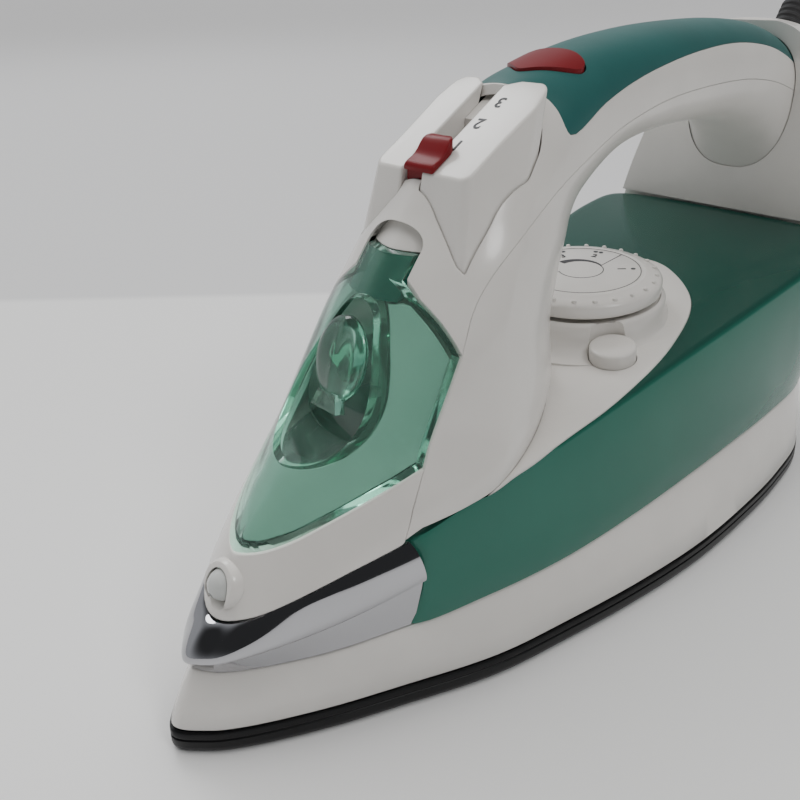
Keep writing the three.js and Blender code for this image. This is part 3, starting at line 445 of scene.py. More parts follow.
# ---------------------------------------------------------------- curves
def centripetal(points, steps, closed):
    """A smooth curve through the points, which doesn't loop where they crowd."""
    count = len(points)
    made = []
    spans = count if closed else count - 1
    for i in range(spans):
        if closed:
            p0, p1, p2, p3 = (points[(i + k - 1) % count] for k in range(4))
        else:
            p1, p2 = points[i], points[i + 1]
            p0 = points[i - 1] if i else p1 * 2 - p2
            p3 = points[i + 2] if i + 2 < count else p2 * 2 - p1
        d1, d2, d3 = (max((b - a).length, 1e-6) ** 0.5 for a, b in ((p0, p1), (p1, p2), (p2, p3)))
        m1 = (p2 - p1) + ((p1 - p0) / d1 - (p2 - p0) / (d1 + d2)) * d2
        m2 = (p2 - p1) + ((p3 - p2) / d3 - (p3 - p1) / (d2 + d3)) * d2
        for k in range(steps):
            u = k / steps
            made.append(p1 * (2 * u**3 - 3 * u**2 + 1) + m1 * (u**3 - 2 * u**2 + u)
                        + p2 * (-2 * u**3 + 3 * u**2) + m2 * (u**3 - u**2))
    if not closed:
        made.append(points[-1].copy())
    return made


def plan_ring(side, steps=4):
    """A closed outline round the iron from points on its left side, nose first, tail last."""
    left = [Vector((p[0], p[1], p[2] if len(p) > 2 else 0)) for p in side]
    right = [Vector((-p.x, p.y, p.z)) for p in reversed(left[1:-1])]
    return centripetal(left + right, steps * DETAIL, True)


def drawn_in(ring, side, nose=None, tail=None, lift=0.0):
    nose = side if nose is None else nose
    tail = side if tail is None else tail
    widest = max(p.x for p in ring)
    front = min(p.y for p in ring)
    back = max(p.y for p in ring)
    stretch = (back - front - nose - tail) / (back - front)
    return [Vector((p.x * (1 - side / widest), front + nose + (p.y - front) * stretch, p.z + lift))
            for p in ring]


def at_height(ring, z):
    return [Vector((p.x, p.y, z)) for p in ring]


def between(low, high, t, bulge=0.0):
    made = []
    for p, q in zip(low, high):
        r = p.lerp(q, t)
        r.x += math.copysign(bulge, r.x) if abs(r.x) > 1e-6 else 0
        made.append(r)
    return made


SOLE_SIDE = [(0, 0), (7, 5), (11.9, 11), (22.2, 29), (31, 48), (42, 74), (48, 98), (53.7, 126),
             (57.5, 154), (58.6, 182), (57.8, 210), (54, 236), (44, 254), (26, 262), (0, 264)]
SKIRT_TOP_SIDE = [
    (0, 8.3, 22.1), (4.2, 11.2, 21.2), (7.6, 15.5, 20.8), (16.8, 29, 21.5), (28.6, 48, 25.2),
    (37.6, 74, 26.3), (43.2, 98, 26.9), (46.6, 126, 27.7), (48.4, 154, 28.4), (49.6, 182, 29.2),
    (50.2, 210, 30), (48.6, 236, 30.6), (41, 254, 31), (25, 261, 31.2), (0, 263, 31.3)]
TANK_FOOT_SIDE = [
    (0, 52.4, 26.2), (14, 52.2, 26.2), (27.4, 52, 26.2), (31, 53.4, 26.2), (38, 74, 26.7),
    (43.5, 98, 27.3), (46.9, 126, 28.1), (48.7, 154, 28.8), (49.9, 182, 29.6), (50.5, 210, 30.4),
    (48.6, 238, 31), (40, 253, 31.5), (24, 256.8, 31.6), (0, 257, 31.7)]
TANK_TOP_SIDE = [
    (0, 56, 49.2), (13, 55.9, 49.2), (25.6, 55.2, 49.4), (28.6, 57, 50.2), (33.4, 74, 55.3),
    (36.6, 98, 59), (39.6, 126, 63.3), (42.3, 154, 67.6), (45.2, 182, 71.9), (47.7, 210, 76.1),
    (49.6, 238, 80.4), (46, 252, 82.6), (26, 256.6, 83.2), (0, 257, 83.3)]
DECK_SIDE = [(0, 59.4), (14, 59.5), (26, 60.4), (33.1, 74), (35.3, 88), (36.9, 105.9),
             (38.3, 126.7), (36, 157.4), (26.7, 186), (8.9, 202.4), (0, 204.9)]


def deck_height(y):
    return 53.2 + DECK_SLOPE * (y - 60)


def on_dial_axis(z):
    return Vector((0, 161.2 + 0.06 * (DIAL_TOP - z), z))


def on_clean_axis(z):
    return Vector((25, 143 + DECK_SLOPE * (70.5 - z), z))


# ---------------------------------------------------------------- the upper body
BODY_SECTIONS = [
    (15.5, 33, 140, 52, 30, 0.5, 2, 1.6), (25, 50, 137, 65.5, 34.6, 0.5, 1.5, 1.5),
    (33.8, 60, 131, 73.5, 32.6, 0.54, 1.55, 1.8), (41.3, 68, 128, 80, 31, 0.56, 1.62, 1.9),
    (54.9, 84, 128, 88, 29, 0.47, 1.68, 2), (61.3, 91.7, 130, 94, 27.8, 0.41, 1.65, 2.1),
    (68.6, 101.5, 132.6, 99.5, 26.2, 0.39, 1.6, 2.1), (74.6, 109, 135, 105, 24.6, 0.37, 1.6, 2.2),
    (81, 116.5, 138, 109.4, 22.6, 0.36, 1.6, 2.2), (88, 124.8, 143, 113.4, 20.6, 0.38, 1.8, 2.2),
    (101, 133.5, 150.5, 117.8, 19, 0.42, 2.1, 2.3), (116.3, 142.8, 158, 120.8, 17.9, 0.46, 2.2, 2.4),
    (131, 147, 165, 122.6, 17.4, 0.48, 2.3, 2.5), (149, 150.4, 174, 123.6, 17.2, 0.5, 2.4, 2.6),
    (169, 152.4, 185, 123.8, 17, 0.5, 2.4, 2.6), (192, 153.2, 199, 123.4, 17, 0.5, 2.4, 2.6),
    (222, 152.6, 220, 121.6, 17.2, 0.5, 2.4, 2.6), (243, 150, 237, 117.4, 18, 0.5, 2.4, 2.6),
    (260, 144, 249, 109.5, 19, 0.5, 2.4, 2.6), (275, 133, 257, 97, 20, 0.5, 2.4, 2.6)]
SECTION_POINTS = 52 * DETAIL


def body_ring(row, inset):
    front_y, front_z, back_y, back_z, half, widest, front_power, back_power = row
    front = Vector((front_y, front_z))
    span = Vector((back_y, back_z)) - front
    length = span.length
    along = span / length
    middle = front + span * widest
    ring = []
    for i in range(SECTION_POINTS):
        angle = 2 * math.pi * i / SECTION_POINTS
        c, s = math.cos(angle), math.sin(angle)
        ahead = c >= 0
        exponent = 2 / (front_power if ahead else back_power)
        reach = (widest if ahead else 1 - widest) * length - inset
        p = middle - along * (reach * math.copysign(abs(c) ** exponent, c))
        ring.append(Vector(((half - inset) * math.copysign(abs(s) ** exponent, s), p.x, p.y)))
    return ring


def smooth_rows(rows, per_span):
    made = []
    last = len(rows) - 1
    for step in range(last * per_span + 1):
        i = min(step // per_span, last - 1)
        u = step / per_span - i
        row = []
        for c in range(len(rows[0])):
            p1, p2 = rows[i][c], rows[i + 1][c]
            p0 = rows[i - 1][c] if i else 2 * p1 - p2
            p3 = rows[i + 2][c] if i + 2 <= last else 2 * p2 - p1
            row.append(0.5 * (2 * p1 + (p2 - p0) * u + (2 * p0 - 5 * p1 + 4 * p2 - p3) * u**2
                              + (3 * p1 - p0 - 3 * p2 + p3) * u**3))
        made.append(row)
    return made


ROWS = smooth_rows(BODY_SECTIONS, 3 * DETAIL)


def upper_body(inset):
    return loft([body_ring(row, inset) for row in ROWS])


def skin():
    return cut(upper_body(0), upper_body(WALL))


CHROME_LINE = [(15.5, 33.4), (18.4, 35.1), (21.5, 36.6), (30.2, 40.7), (41.1, 45.1), (53.4, 49)]
WINDOW_FOOT = [(23.4, 48.2), (28, 49.9), (34.1, 52.6), (41, 56), (50.5, 60.3), (62.7, 65.4)]
SHELL_SEAM = [
    (76.8, 89.3), (82.2, 98.2), (89.3, 105.8), (98.5, 112), (111.3, 117.6), (124.1, 122.4),
    (136, 126.3), (150, 130.6), (168.4, 134.2), (190, 135.7), (222, 135.2), (243, 132), (262, 126)]
GRIP_LINE = [
    (117.4, 143.2), (120.2, 140.6), (121.2, 138.2), (123.3, 132), (139.3, 137.6), (152.8, 141.3),
    (167.4, 143.8), (189.2, 146), (215, 146.4), (236, 143.8), (250, 139.6), (262, 134.4)]


def smooth_line(points, steps=5):
    return [(p.x, p.y) for p in centripetal([Vector(p) for p in points], steps, False)]


def moved_line(points, dy, dz):
    return [(y + dy, z + dz) for y, z in points]


def arch(half, foot, spring, top, steps=28):
    points = [(-half, foot), (half, foot)]
    for i in range(steps + 1):
        angle = math.pi * i / steps
        points.append((half * math.cos(angle), spring + (top - spring) * math.sin(angle)))
    return points


# ---------------------------------------------------------------- base
def make_base():
    sole = plan_ring(SOLE_SIDE)
    levels = [(2, 4, 2, 0), (1.1, 2.2, 1.1, 0.25), (0.5, 1, 0.5, 0.9), (0.05, 0.1, 0.05, 2.0),
              (0, 0, 0, 2.8), (0.1, 0.1, 0.1, 4.6), (0.5, 0.5, 0.5, 4.8), (0.5, 0.5, 0.5, 5.2),
              (0.15, 0.15, 0.15, 5.4), (0.3, 0.3, 0.3, SOLE_TOP - 0.3), (0.6, 0.6, 0.6, SOLE_TOP)]
    plate = loft([at_height(drawn_in(sole, *level[:3]), level[3]) for level in levels])
    block = loft([at_height(drawn_in(sole, 9, 30, 12), z) for z in (SOLE_TOP - 1, 13)])
    join(plate, block)
    for y in range(60, 201, 24):
        for x in (0.24 * (y - 20), -0.24 * (y - 20)):
            cut(plate, turned([(0, -1), (2.1, -1), (2.1, 0), (1.3, 0.8), (1.3, 14), (0, 14)],
                              (x, y, 0), sides=20))
    piece(plate, "soleplate_body", SOLE, "soleplate")
    top = plan_ring(SKIRT_TOP_SIDE)
    foot = at_height(drawn_in(sole, 0.6, 1, 0.6), SOLE_TOP + GAP)
    low = drawn_in(foot, 0.0, 0, 0, 0.7)
    wall = [drawn_in(foot, 0.5), low, between(low, top, 0.33, 0.35), between(low, top, 0.66, 0.35),
            drawn_in(top, 0, 0, 0, -0.8), drawn_in(top, 0.35, 0.35, 0.35, -0.15),
            drawn_in(top, 0.9, 0.9, 0.9),
            drawn_in(top, WALL, 8, WALL), drawn_in(foot, WALL, 8, WALL)]
    piece(loft(wall, True), "skirt_moulding", WHITE, "skirt", sharp=55)


# ---------------------------------------------------------------- nose
def make_nose():
    bands = [
        [(0, 8.6, 22.5), (4.2, 11.5, 21.6), (7.8, 15.8, 21.2), (16.6, 29, 21.9), (23.3, 38.7, 24),
         (31.2, 54, 26.6)],
        [(0, 8.9, 24), (4.35, 12.2, 25.2), (8, 16.6, 26.2), (16.3, 29.5, 29.7), (22.4, 40.4, 33.1),
         (29.9, 55.6, 38.2)],
        [(0, 9.1, 26), (4.9, 12.3, 26.2), (8.6, 16.6, 27.4), (17, 29.3, 31.3), (23.2, 40.2, 35),
         (30.4, 56, 40.2)],
        [(0, 9.7, 28.4), (5.1, 13.1, 28.7), (8.9, 17.3, 30), (17.4, 29.9, 34.2), (23.5, 40.8, 38),
         (30.1, 56, 42.8)],
        [(0, 11.4, 30.9), (4.8, 14.6, 31.5), (8.4, 18, 33), (17.1, 30.2, 37.6), (23.1, 41, 41.8),
         (29.2, 56, 46.4)],
        [(0, 15, 32.9), (4, 16.8, 33.6), (7.4, 18.9, 34.8), (16.6, 30.2, 40.3), (22.2, 41.1, 44.7),
         (28, 55.4, 49)]]

    def strip(points):
        left = [Vector(p) for p in points]
        right = [Vector((-p.x, p.y, p.z)) for p in reversed(left[1:])]
        return centripetal(right + left, 6 * DETAIL, False)

    outer = [strip(band) for band in bands]
    inner = [[Vector((p.x * 0.9, p.y + 1.2 + 1.2 * max(0, 1 - abs(p.x) / 12), p.z)) for p in band]
             for band in (outer[0], outer[2], outer[4], outer[5])]
    rings = []
    for i in range(len(outer[0])):
        column = [band[i] for band in outer]
        # a flat lower panel, a crease, and a rolled bead above it
        foot = column[1].lerp(column[2], 0.35)
        steps = 8 * DETAIL
        out = (column[3] - foot.lerp(column[5], 0.5)).normalized()
        flat = Vector((out.x, out.y, 0)).normalized()
        foot += flat * 1.5
        out = (out + Vector((0, 0, 0.35))).normalized()
        roll = []
        for k in range(steps + 1):
            t = k / steps
            bulge = 2.3 * math.sqrt(max(0, 1 - (2 * t - 1) ** 2))
            roll.append(foot.lerp(column[5], t) + out * bulge)
        rings.append([column[0]] + roll + [band[i] for band in reversed(inner)])
    trim = cut(loft(rings), tank_outside(-GAP))
    piece(trim, "nose_trim_plated", CHROME, "nose_trim", sharp=50)
    foot = smooth_line(WINDOW_FOOT)
    region = side_prism([(5, 31)] + moved_line(smooth_line(CHROME_LINE), 0, 0.12)
                        + [(54.0, 49.6), (57.45, 56.9), (62.85, 65.2)]
                        + moved_line(list(reversed(foot)), 0, -0.12)[1:] + [(10, 46.7), (5, 46)])
    cover = keep(skin(), region)
    # the boss round the nozzle, with a lip that points up the cover
    boss = turned([(3, -2), (6.4, -2), (6.0, 1.2), (5.4, 2.0), (4.6, 2.2), (3, 2.2)],
                  (0, 20.6, 41), (0, -0.96, 0.45))
    join(cover, keep(boss, side_prism([(5, 36.9), (21.5, 36.9), (40, 46), (40, 70), (5, 70)])))
    cut(cover, rod(4.4, (0, 10, 38), (0, 34, 45)))
    piece(cover, "front_cover_shell", WHITE, "front_cover")
    nozzle = turned([(0, 0.6), (0.7, 0.6), (0.9, 0), (1.7, 0.35), (2.8, 1.1), (3.5, 2.1), (3.9, 3.2),
                     (4, 4.4), (4, 9), (2, 9), (2, 11), (0, 11)], (0, 16.6, 39.8), (0, 0.96, 0.28))
    piece(nozzle, "spray_nozzle_tip", NOZZLE, "spray_nozzle")


# ---------------------------------------------------------------- window and lid
LID_TOP = Vector((65.6, 98))
LID_FOOT = Vector((57.2, 74.6))
LID_SLOPE = (LID_TOP.x - LID_FOOT.x) / (LID_TOP.y - LID_FOOT.y)
DENT_SIDE = [(0, 100.2), (3, 99.4), (5.1, 97.6), (6.8, 94.8), (8.9, 90.2), (11.2, 85), (13, 79),
             (12.9, 73.6), (10.9, 69.6), (7, 67.2), (0, 66.4)]


def dent_outline(grow):
    """The egg-shaped filler dent, seen from the front."""
    right = [Vector(p) for p in DENT_SIDE]
    left = [Vector((-p.x, p.y)) for p in reversed(right[1:-1])]
    made = []
    for p in centripetal(right + left, 5, True):
        away = (p - Vector((0, 82))).normalized() * grow
        made.append((p.x + away.x, p.y + away.y))
    return made


def back_wall(z, shift):
    return (LID_FOOT.x + LID_SLOPE * (z - LID_FOOT.y) + shift, z)


def make_window():
    tab = side_prism([(60, 104), (73.9, 104), (79.5, 109.8), (60, 109.8)], -8, 8)
    region = side_prism(moved_line(smooth_line(WINDOW_FOOT), 0, GAP) + [
        (76.4, 89.2), (75.1, 96.1), (73.8, 100.9), (73.9, 105.4), (55, 105.4), (10, 60), (10, 47)])
    pane = keep(skin(), join(region, tab))
    cut(pane, front_prism(dent_outline(0), 20, 100))
    piece(pane, "front_window_pane", WINDOW, "front_window")
    basin = keep(front_prism(dent_outline(1.5), 30, 90), upper_body(WALL + 0.1))
    keep(basin, side_prism([back_wall(50, 5.2), back_wall(110, 5.2), (10, 110), (10, 50)]))
    hollow = keep(front_prism(dent_outline(0), 20, 100), side_prism(
        [back_wall(50, 2.6), back_wall(110, 2.6), (10, 110), (10, 50)]))
    cut(basin, hollow, rod(5, (0, 50, 86), (0, 80, 84)))
    piece(biggest(basin), "filler_basin_shell", WINDOW, "filler_basin")
    liner = cut(upper_body(WALL + 0.5), upper_body(WALL + 2))
    keep(liner, side_prism(moved_line(WINDOW_FOOT, 1.6, 0.9) + [
        (76, 88), (74, 99), (50, 99), (16, 70), (16, 49)]))
    cut(liner, front_prism(dent_outline(1.7), 10, 100))
    piece(biggest(liner), "window_liner_wall", SHADED_LINER, "window_liner")
    # the glass casts no shadow; the liner behind it carries painted shade instead
    for glass in (pane, basin):
        glass.visible_shadow = False
    backing = keep(cut(upper_body(WALL + 0.05), upper_body(WALL + 1.6)), side_prism(
        [(60, 99.6), (79, 99.6), (80.5, 109.2), (60, 109.2)], -7.9, 7.9))
    backing = biggest(keep(backing, side_prism([(60, 90), (78, 90), (84, 112), (60, 112)])))
    piece(backing, "front_window_tab_rib", DEEP_GREEN, body="iron", slot="clear_green")


def make_lid():
    middle = (LID_TOP + LID_FOOT) / 2
    half_length = (LID_TOP - LID_FOOT).length / 2
    up = Vector((0, LID_SLOPE, 1)).normalized()
    out = Vector((0, -1, LID_SLOPE)).normalized()
    across = up.cross(out)
    centre = Vector((0, middle.x, middle.y)) + out * 0.2
    rings = []
    profile = [(0, 0), (0.9, 0), (1, 0.35), (0.985, 1.0), (0.93, 1.7), (0.82, 2.3), (0.66, 2.7),
               (0.45, 2.95), (0.2, 3.05), (0, 3.1)]
    for scale, height in profile:
        ring = []
        for i in range(72):
            a = 2 * math.pi * i / 72
            x, y = math.cos(a) * scale, math.sin(a) * scale
            ridge = 0.5 * math.exp(-(x / 0.18) ** 2) if height > 2 else 0
            ring.append(centre + across * (8.6 * x) + up * ((half_length - 1.6) * y)
                        + out * (height + ridge))
        rings.append(ring)
    lid = loft(rings)
    lip = prism([(-4.6, -0.5), (4.6, -0.5), (3.2, 4), (-3.2, 4)],
                lambda a, b, d: centre + across * a + up * (b - half_length) + out * d, 0, 3.2)
    pin = Vector((0, LID_TOP.x, LID_TOP.y)) - out * 0.6
    join(lid, lip, rod(1.9, pin + Vector((-4, 0, 0)), pin + Vector((4, 0, 0))))
    cut(lid, rod(1.1, pin + Vector((-8, 0, 0)), pin + Vector((8, 0, 0))))
    piece(lid, "filler_lid_flap", WINDOW, "filler_lid", sharp=45)
    lid.visible_shadow = False
    pin_rod = rod(0.8, pin + Vector((-4.6, 0, 0)), pin + Vector((4.6, 0, 0)))
    piece(pin_rod, "lid_pin_rod", DEEP_GREEN, "lid_pin")


# ---------------------------------------------------------------- tank, deck, dial
def tank_rings():
    foot, top = plan_ring(TANK_FOOT_SIDE), plan_ring(TANK_TOP_SIDE)
    middle = between(foot, top, 0.5, 0.8)
    for p in middle:
        if p.y < 56:
            p.y += 1.8
    return foot, middle, top


def tank_outside(inset):
    foot, middle, top = tank_rings()
    return loft([drawn_in(foot, inset, lift=inset), drawn_in(middle, inset),
                 drawn_in(top, inset, lift=-inset)])


def make_tank():
    foot, middle, top = tank_rings()
    low, high = between(foot, middle, 0.5, 0.2), between(middle, top, 0.5, 0.2)
    outer = [drawn_in(foot, 0.5), drawn_in(foot, 0.12, lift=0.15), drawn_in(foot, 0, lift=0.6), low,
             middle, high, drawn_in(top, 0, lift=-1.2), drawn_in(top, 0.35, lift=-0.35),
             drawn_in(top, 1.2), drawn_in(top, 3.0, lift=0.15)]
    tank = loft(outer)
    inner = loft([drawn_in(foot, WALL, WALL + 1, WALL, WALL), drawn_in(middle, WALL, WALL + 2.5),
                  drawn_in(top, WALL, lift=-WALL)])
    edge = drawn_in(plan_ring(DECK_SIDE), -0.12)
    opening = loft([[Vector((p.x, p.y, deck_height(p.y) + lift)) for p in edge] for lift in (-12, 9)])
    cut(tank, inner, opening)
    piece(tank, "water_tank_shell", TANK, "water_tank", sharp=50)


def make_deck():
    ring = plan_ring(DECK_SIDE)

    def level(lift, inset=0.0):
        return [Vector((p.x, p.y, deck_height(p.y) + lift)) for p in drawn_in(ring, inset)]

    cover = loft([level(-3), level(-0.5), level(-0.15, 0.15), level(0, 0.5)])
    sweep = [(0, -4), (34, -4), (34, 0.6), (31.6, 1.1), (29.6, 2.1), (28.3, 3.6), (27.5, 5.4),
             (27.1, 7.4), (26.8, 9.2), (26.2, 9.9), (25.4, 10.1), (25.0, 9.4), (0, 9.4)]
    collar = turned(sweep, on_dial_axis(66), DIAL_AXIS, 96)
    cut(collar, side_prism([(90, deck_height(90) - 1), (250, deck_height(250) - 1), (250, 0), (90, 0)]))
    keep(collar, loft([level(-2, 0.4), level(30, 0.4)]))
    join(cover, collar)
    # where the pillar meets the deck, the deck sweeps up to it
    cut(cover, upper_body(-0.08), rod(4.2, on_dial_axis(50), on_dial_axis(90)),
        turned([(0, -16), (7.15, -16), (7.15, 12), (0, 12)], on_clean_axis(65.2),
               (0, -DECK_SLOPE, 1)))
    piece(biggest(cover), "deck_cover_plate", WHITE, "deck_cover", sharp=50)


def make_dial():
    face, ink_low, ink_top = 5.8, 5.78, 5.86
    base = on_dial_axis(DIAL_TOP - face)
    profile = [(0, 0), (25, 0), (25.3, 0.3), (25.4, 0.9), (25.4, 3.3), (25.1, 3.9), (24.3, 4.5),
               (22.6, 5.0), (20.9, 5.5), (20.3, 5.75), (19.8, 5.8), (19.4, 5.66), (19.0, 5.8), (0, 5.8)]
    dial = turned(profile, base, DIAL_AXIS, 120)
    across = Vector((1, 0, 0))
    third = DIAL_AXIS.cross(across)

    def spot(radius, degrees):
        a = math.radians(degrees)
        return base + across * (radius * math.cos(a)) + third * (radius * math.sin(a))

    ridges = 24
    for i in range(ridges):
        join(dial, turned([(0, 4), (0.75, 4), (0.75, 5.0), (0.6, 5.35), (0.3, 5.5), (0, 5.55)],
                          spot(23.4, 360 * i / ridges), DIAL_AXIS, 12))
    piece(dial, "temperature_dial_knob", WHITE, "temperature_dial", body="dial")

    def printed(thing, name):
        piece(thing, name, INK, body="dial", slot="white_plastic")

    def flat(name, outline):
        """A printed shape from (radius, angle) points on the dial's face."""
        spots = [(r * math.cos(math.radians(a)), r * math.sin(math.radians(a))) for r, a in outline]
        printed(prism(spots, lambda a, b, d: base + across * a + third * b + DIAL_AXIS * d,
                      ink_low, ink_top), name)

    def arc_band(first, last, inner, outer, grow=0.0, steps=40):
        out = [(outer + grow * k / steps, first + (last - first) * k / steps) for k in range(steps + 1)]
        back = [(inner, last - (last - first) * k / steps) for k in range(steps + 1)]
        return out + back

    ring = [(18.5, ink_low), (18.75, ink_low), (18.75, ink_top), (18.5, ink_top), (18.5, ink_low)]
    printed(turned(ring, base, DIAL_AXIS, 96), "dial_print_outer")
    flat("dial_print_hub", arc_band(-128, 172, 6.9, 7.2, steps=60))
    flat("dial_print_scale", arc_band(62, 170, 7.2, 7.5, 1.9))
    flat("dial_line_high", [(7.1, 61), (18.5, 79), (18.5, 80), (7.1, 63)])
    flat("dial_line_low", [(7.1, -129), (18.5, -112), (18.5, -111), (7.1, -127)])
    flat("dial_line_step", [(7.1, 170), (9.9, 171), (9.9, 173), (7.1, 173)])
    for setting, around in ((1, 38), (2, 104), (3, 152)):
        for dot in range(setting):
            where = spot(16.3, around + (dot - (setting - 1) / 2) * 6.5)
            disc = [(0, ink_low), (0.75, ink_low), (0.75, ink_top), (0, ink_top)]
            printed(turned(disc, where, DIAL_AXIS, 96), "dial_dot_%d_%d" % (setting, dot + 1))
        number("dial_number_%d" % setting, str(setting), 3.6, spot(12.6, around) + DIAL_AXIS * face,
               base - spot(1, around + 90), DIAL_AXIS, "dial")


def make_clean_button():
    button = turned([(0, 0), (6.9, 0), (6.9, 6.5), (6.75, 6.95), (6.35, 7.25), (5.7, 7.38),
                     (4, 7.42), (0, 7.45)], on_clean_axis(63.1), (0, -DECK_SLOPE, 1))
    piece(button, "self_clean_button_cap", WHITE, "self_clean_button")


# ---------------------------------------------------------------- handle
PRESS = Vector((0, 0.3, 0.954)).normalized()


def pad_top(y):
    return 127.1 + PAD_SLOPE * (y - PAD_FRONT)


def rounded(corners, steps=8):
    """An outline from (x, y, radius) corners, each turned with an arc that's tangent to its sides."""
    made = []
    points = [Vector(c[:2]) for c in corners]
    for i, p in enumerate(points):
        before = (points[i - 1] - p).normalized()
        after = (points[(i + 1) % len(points)] - p).normalized()
        half = before.angle(after) / 2
        reach = corners[i][2] / math.tan(half)
        start, end = p + before * reach, p + after * reach
        centre = p + (before + after).normalized() * (corners[i][2] / math.sin(half))
        first = math.atan2(start.y - centre.y, start.x - centre.x)
        swing = math.atan2(end.y - centre.y, end.x - centre.x) - first
        swing = (swing + math.pi) % (2 * math.pi) - math.pi
        for k in range(steps + 1):
            angle = first + swing * k / steps
            made.append((centre.x + corners[i][2] * math.cos(angle),
                         centre.y + corners[i][2] * math.sin(angle)))
    return made


def inset_outline(outline, inset):
    """Every point moved in along its own corner's inward normal."""
    count = len(outline)
    area = sum(outline[i - 1][0] * outline[i][1] - outline[i][0] * outline[i - 1][1]
               for i in range(count))
    turn = 1 if area > 0 else -1
    made = []
    for i, (x, y) in enumerate(outline):
        along = Vector(outline[(i + 1) % count]) - Vector(outline[i - 1])
        along.normalize()
        made.append((x - along.y * inset * turn, y + along.x * inset * turn))
    return made


def pad_rings(outline, levels):
    """Rings of a leaning block. levels are (distance down from the top, inset) pairs."""
    rings = []
    for down, inset in levels:
        ring = []
        for (x, y), (px, py) in zip(outline, inset_outline(outline, inset)):
            if abs(x) > 10:
                px += math.copysign(PAD_DRAFT * max(down, 0) * min((abs(x) - 10) / 4, 1), x)
            if y < 92:
                py += PAD_FRONT_DRAFT * max(down, 0) * min((92 - y) / 4, 1)
            ring.append(Vector((px, py, pad_top(py))) - PRESS * down)
        rings.append(ring)
    return rings


LEFT_PAD = rounded([(1.5, 87.2, 0.7), (15.7, 87.2, 2.6), (15.8, 100, 30), (16.5, 111, 8),
                    (14.6, 118.6, 4), (6, 118.6, 3), (1.5, 116.8, 0.8)])
RIGHT_PAD = rounded([(-5.2, 116.8, 0.8), (-8, 118.6, 3), (-14, 118.6, 4), (-15.5, 111, 8),
                     (-15, 100, 30), (-14.9, 87.2, 2.6), (-5.2, 87.2, 0.7)])


def pocket_cutter():
    """The room for both pads and, between them, for the slider's travel."""
    levels = [(down, -PAD_CLEARANCE) for down in (-12, 0, 28)]
    blocks = [loft(pad_rings(pad, levels)) for pad in (LEFT_PAD, RIGHT_PAD)]
    front, rear = pad_top(PAD_FRONT), pad_top(118.6)
    channel = side_prism([(87.9, front + 6), (118.6, rear + 6), (112, rear - 22), (87.9, front - 22)],
                         -5.8, 2.1)
    return join(blocks[0], blocks[1], channel)


def lens_cutter(grow, outside, inside):
    """The lamp's lens seen from above, between two skins of the handle."""
    half = [(0.6, 124.5), (5, 127.6), (9.4, 131.4), (11.6, 134.6), (10.8, 137.6), (6.5, 139.7),
            (0.6, 140.4)]
    outline = half + [(-x, y) for x, y in reversed(half)]
    outline = [(x + math.copysign(grow, x), y + math.copysign(grow, y - 132)) for x, y in outline]
    ring = [(p.x, p.y) for p in centripetal([Vector(p) for p in outline], 5, True)]
    column = prism(ring, lambda x, y, z: Vector((x, y, z)), 132, 162)
    return cut(keep(column, outside), inside)


def make_handle():
    seam = smooth_line(SHELL_SEAM)
    grip = smooth_line(GRIP_LINE)
    shell_region = side_prism(
        moved_line(seam, 0, 0.05)[1:] + moved_line(list(reversed(grip)), 0, -0.07)
        + [(116, 170), (60, 130), (60, 105.9), (74.6, 105.9), (74.5, 101.2), (75.8, 96.4), (77.1, 89.5)])
    shell = keep(skin(), shell_region)
    cut(shell, front_prism(arch(9, 102, 110.5, 116), 60, 88), pocket_cutter(),
        front_prism([(-8.4, 100), (8.4, 100), (8.4, 110.2), (-8.4, 110.2)], 55, 83))
    wall = keep(cut(upper_body(WALL + 0.03), upper_body(WALL + 2)), front_prism(
        arch(11.8, 109.9, 111.5, 118.6), 60, 92))
    wall = biggest(keep(wall, side_prism([(60, 99), (60, 118), (95, 118), (95, 99)])))
    rim = keep(front_prism(arch(10.6, 106.2, 110.5, 117.7), 60, 92),
               cut(upper_body(0.8), upper_body(WALL + 1)))
    cut(rim, front_prism(arch(9, 100, 110.5, 116), 55, 95))
    join(wall, biggest(rim))
    piece(biggest(shell), "handle_shell_moulding", WHITE, "handle_shell")
    piece(wall, "handle_shell_notch_wall", WHITE, body="iron", slot="white_plastic")
    # the floor of the slider's channel, behind the end of its travel
    end = side_prism([(y, pad_top(y) - drop)
                      for y, drop in ((109.8, 4), (119.5, 4), (119.5, 8), (109.8, 8))], -5.1, 1.4)
    piece(end, "handle_shell_channel_end", WHITE, body="iron", slot="white_plastic")
    body_region = side_prism(
        [(54.3, 50.2), (57.7, 56.9), (63.1, 65.4), (76.9, 89)] + moved_line(seam, 0, -0.05)[1:]
        + [(262, 90), (140, deck_height(140) - 0.8), (58.6, deck_height(58.6) - 0.8)])
    piece(biggest(keep(skin(), body_region)), "body_shell_moulding", WHITE, "body_shell")
    grip_shell = keep(skin(), side_prism(grip + [(262, 170), (117, 170)]))
    cut(grip_shell, pocket_cutter(), lens_cutter(GAP, upper_body(-4), upper_body(6)))
    piece(biggest(grip_shell), "handle_grip_cover", GRIP, "handle_grip")
    lens = lens_cutter(0, upper_body(-0.9), upper_body(2))
    piece(lens, "pilot_lens_cover", RED, "pilot_lens", sharp=50)


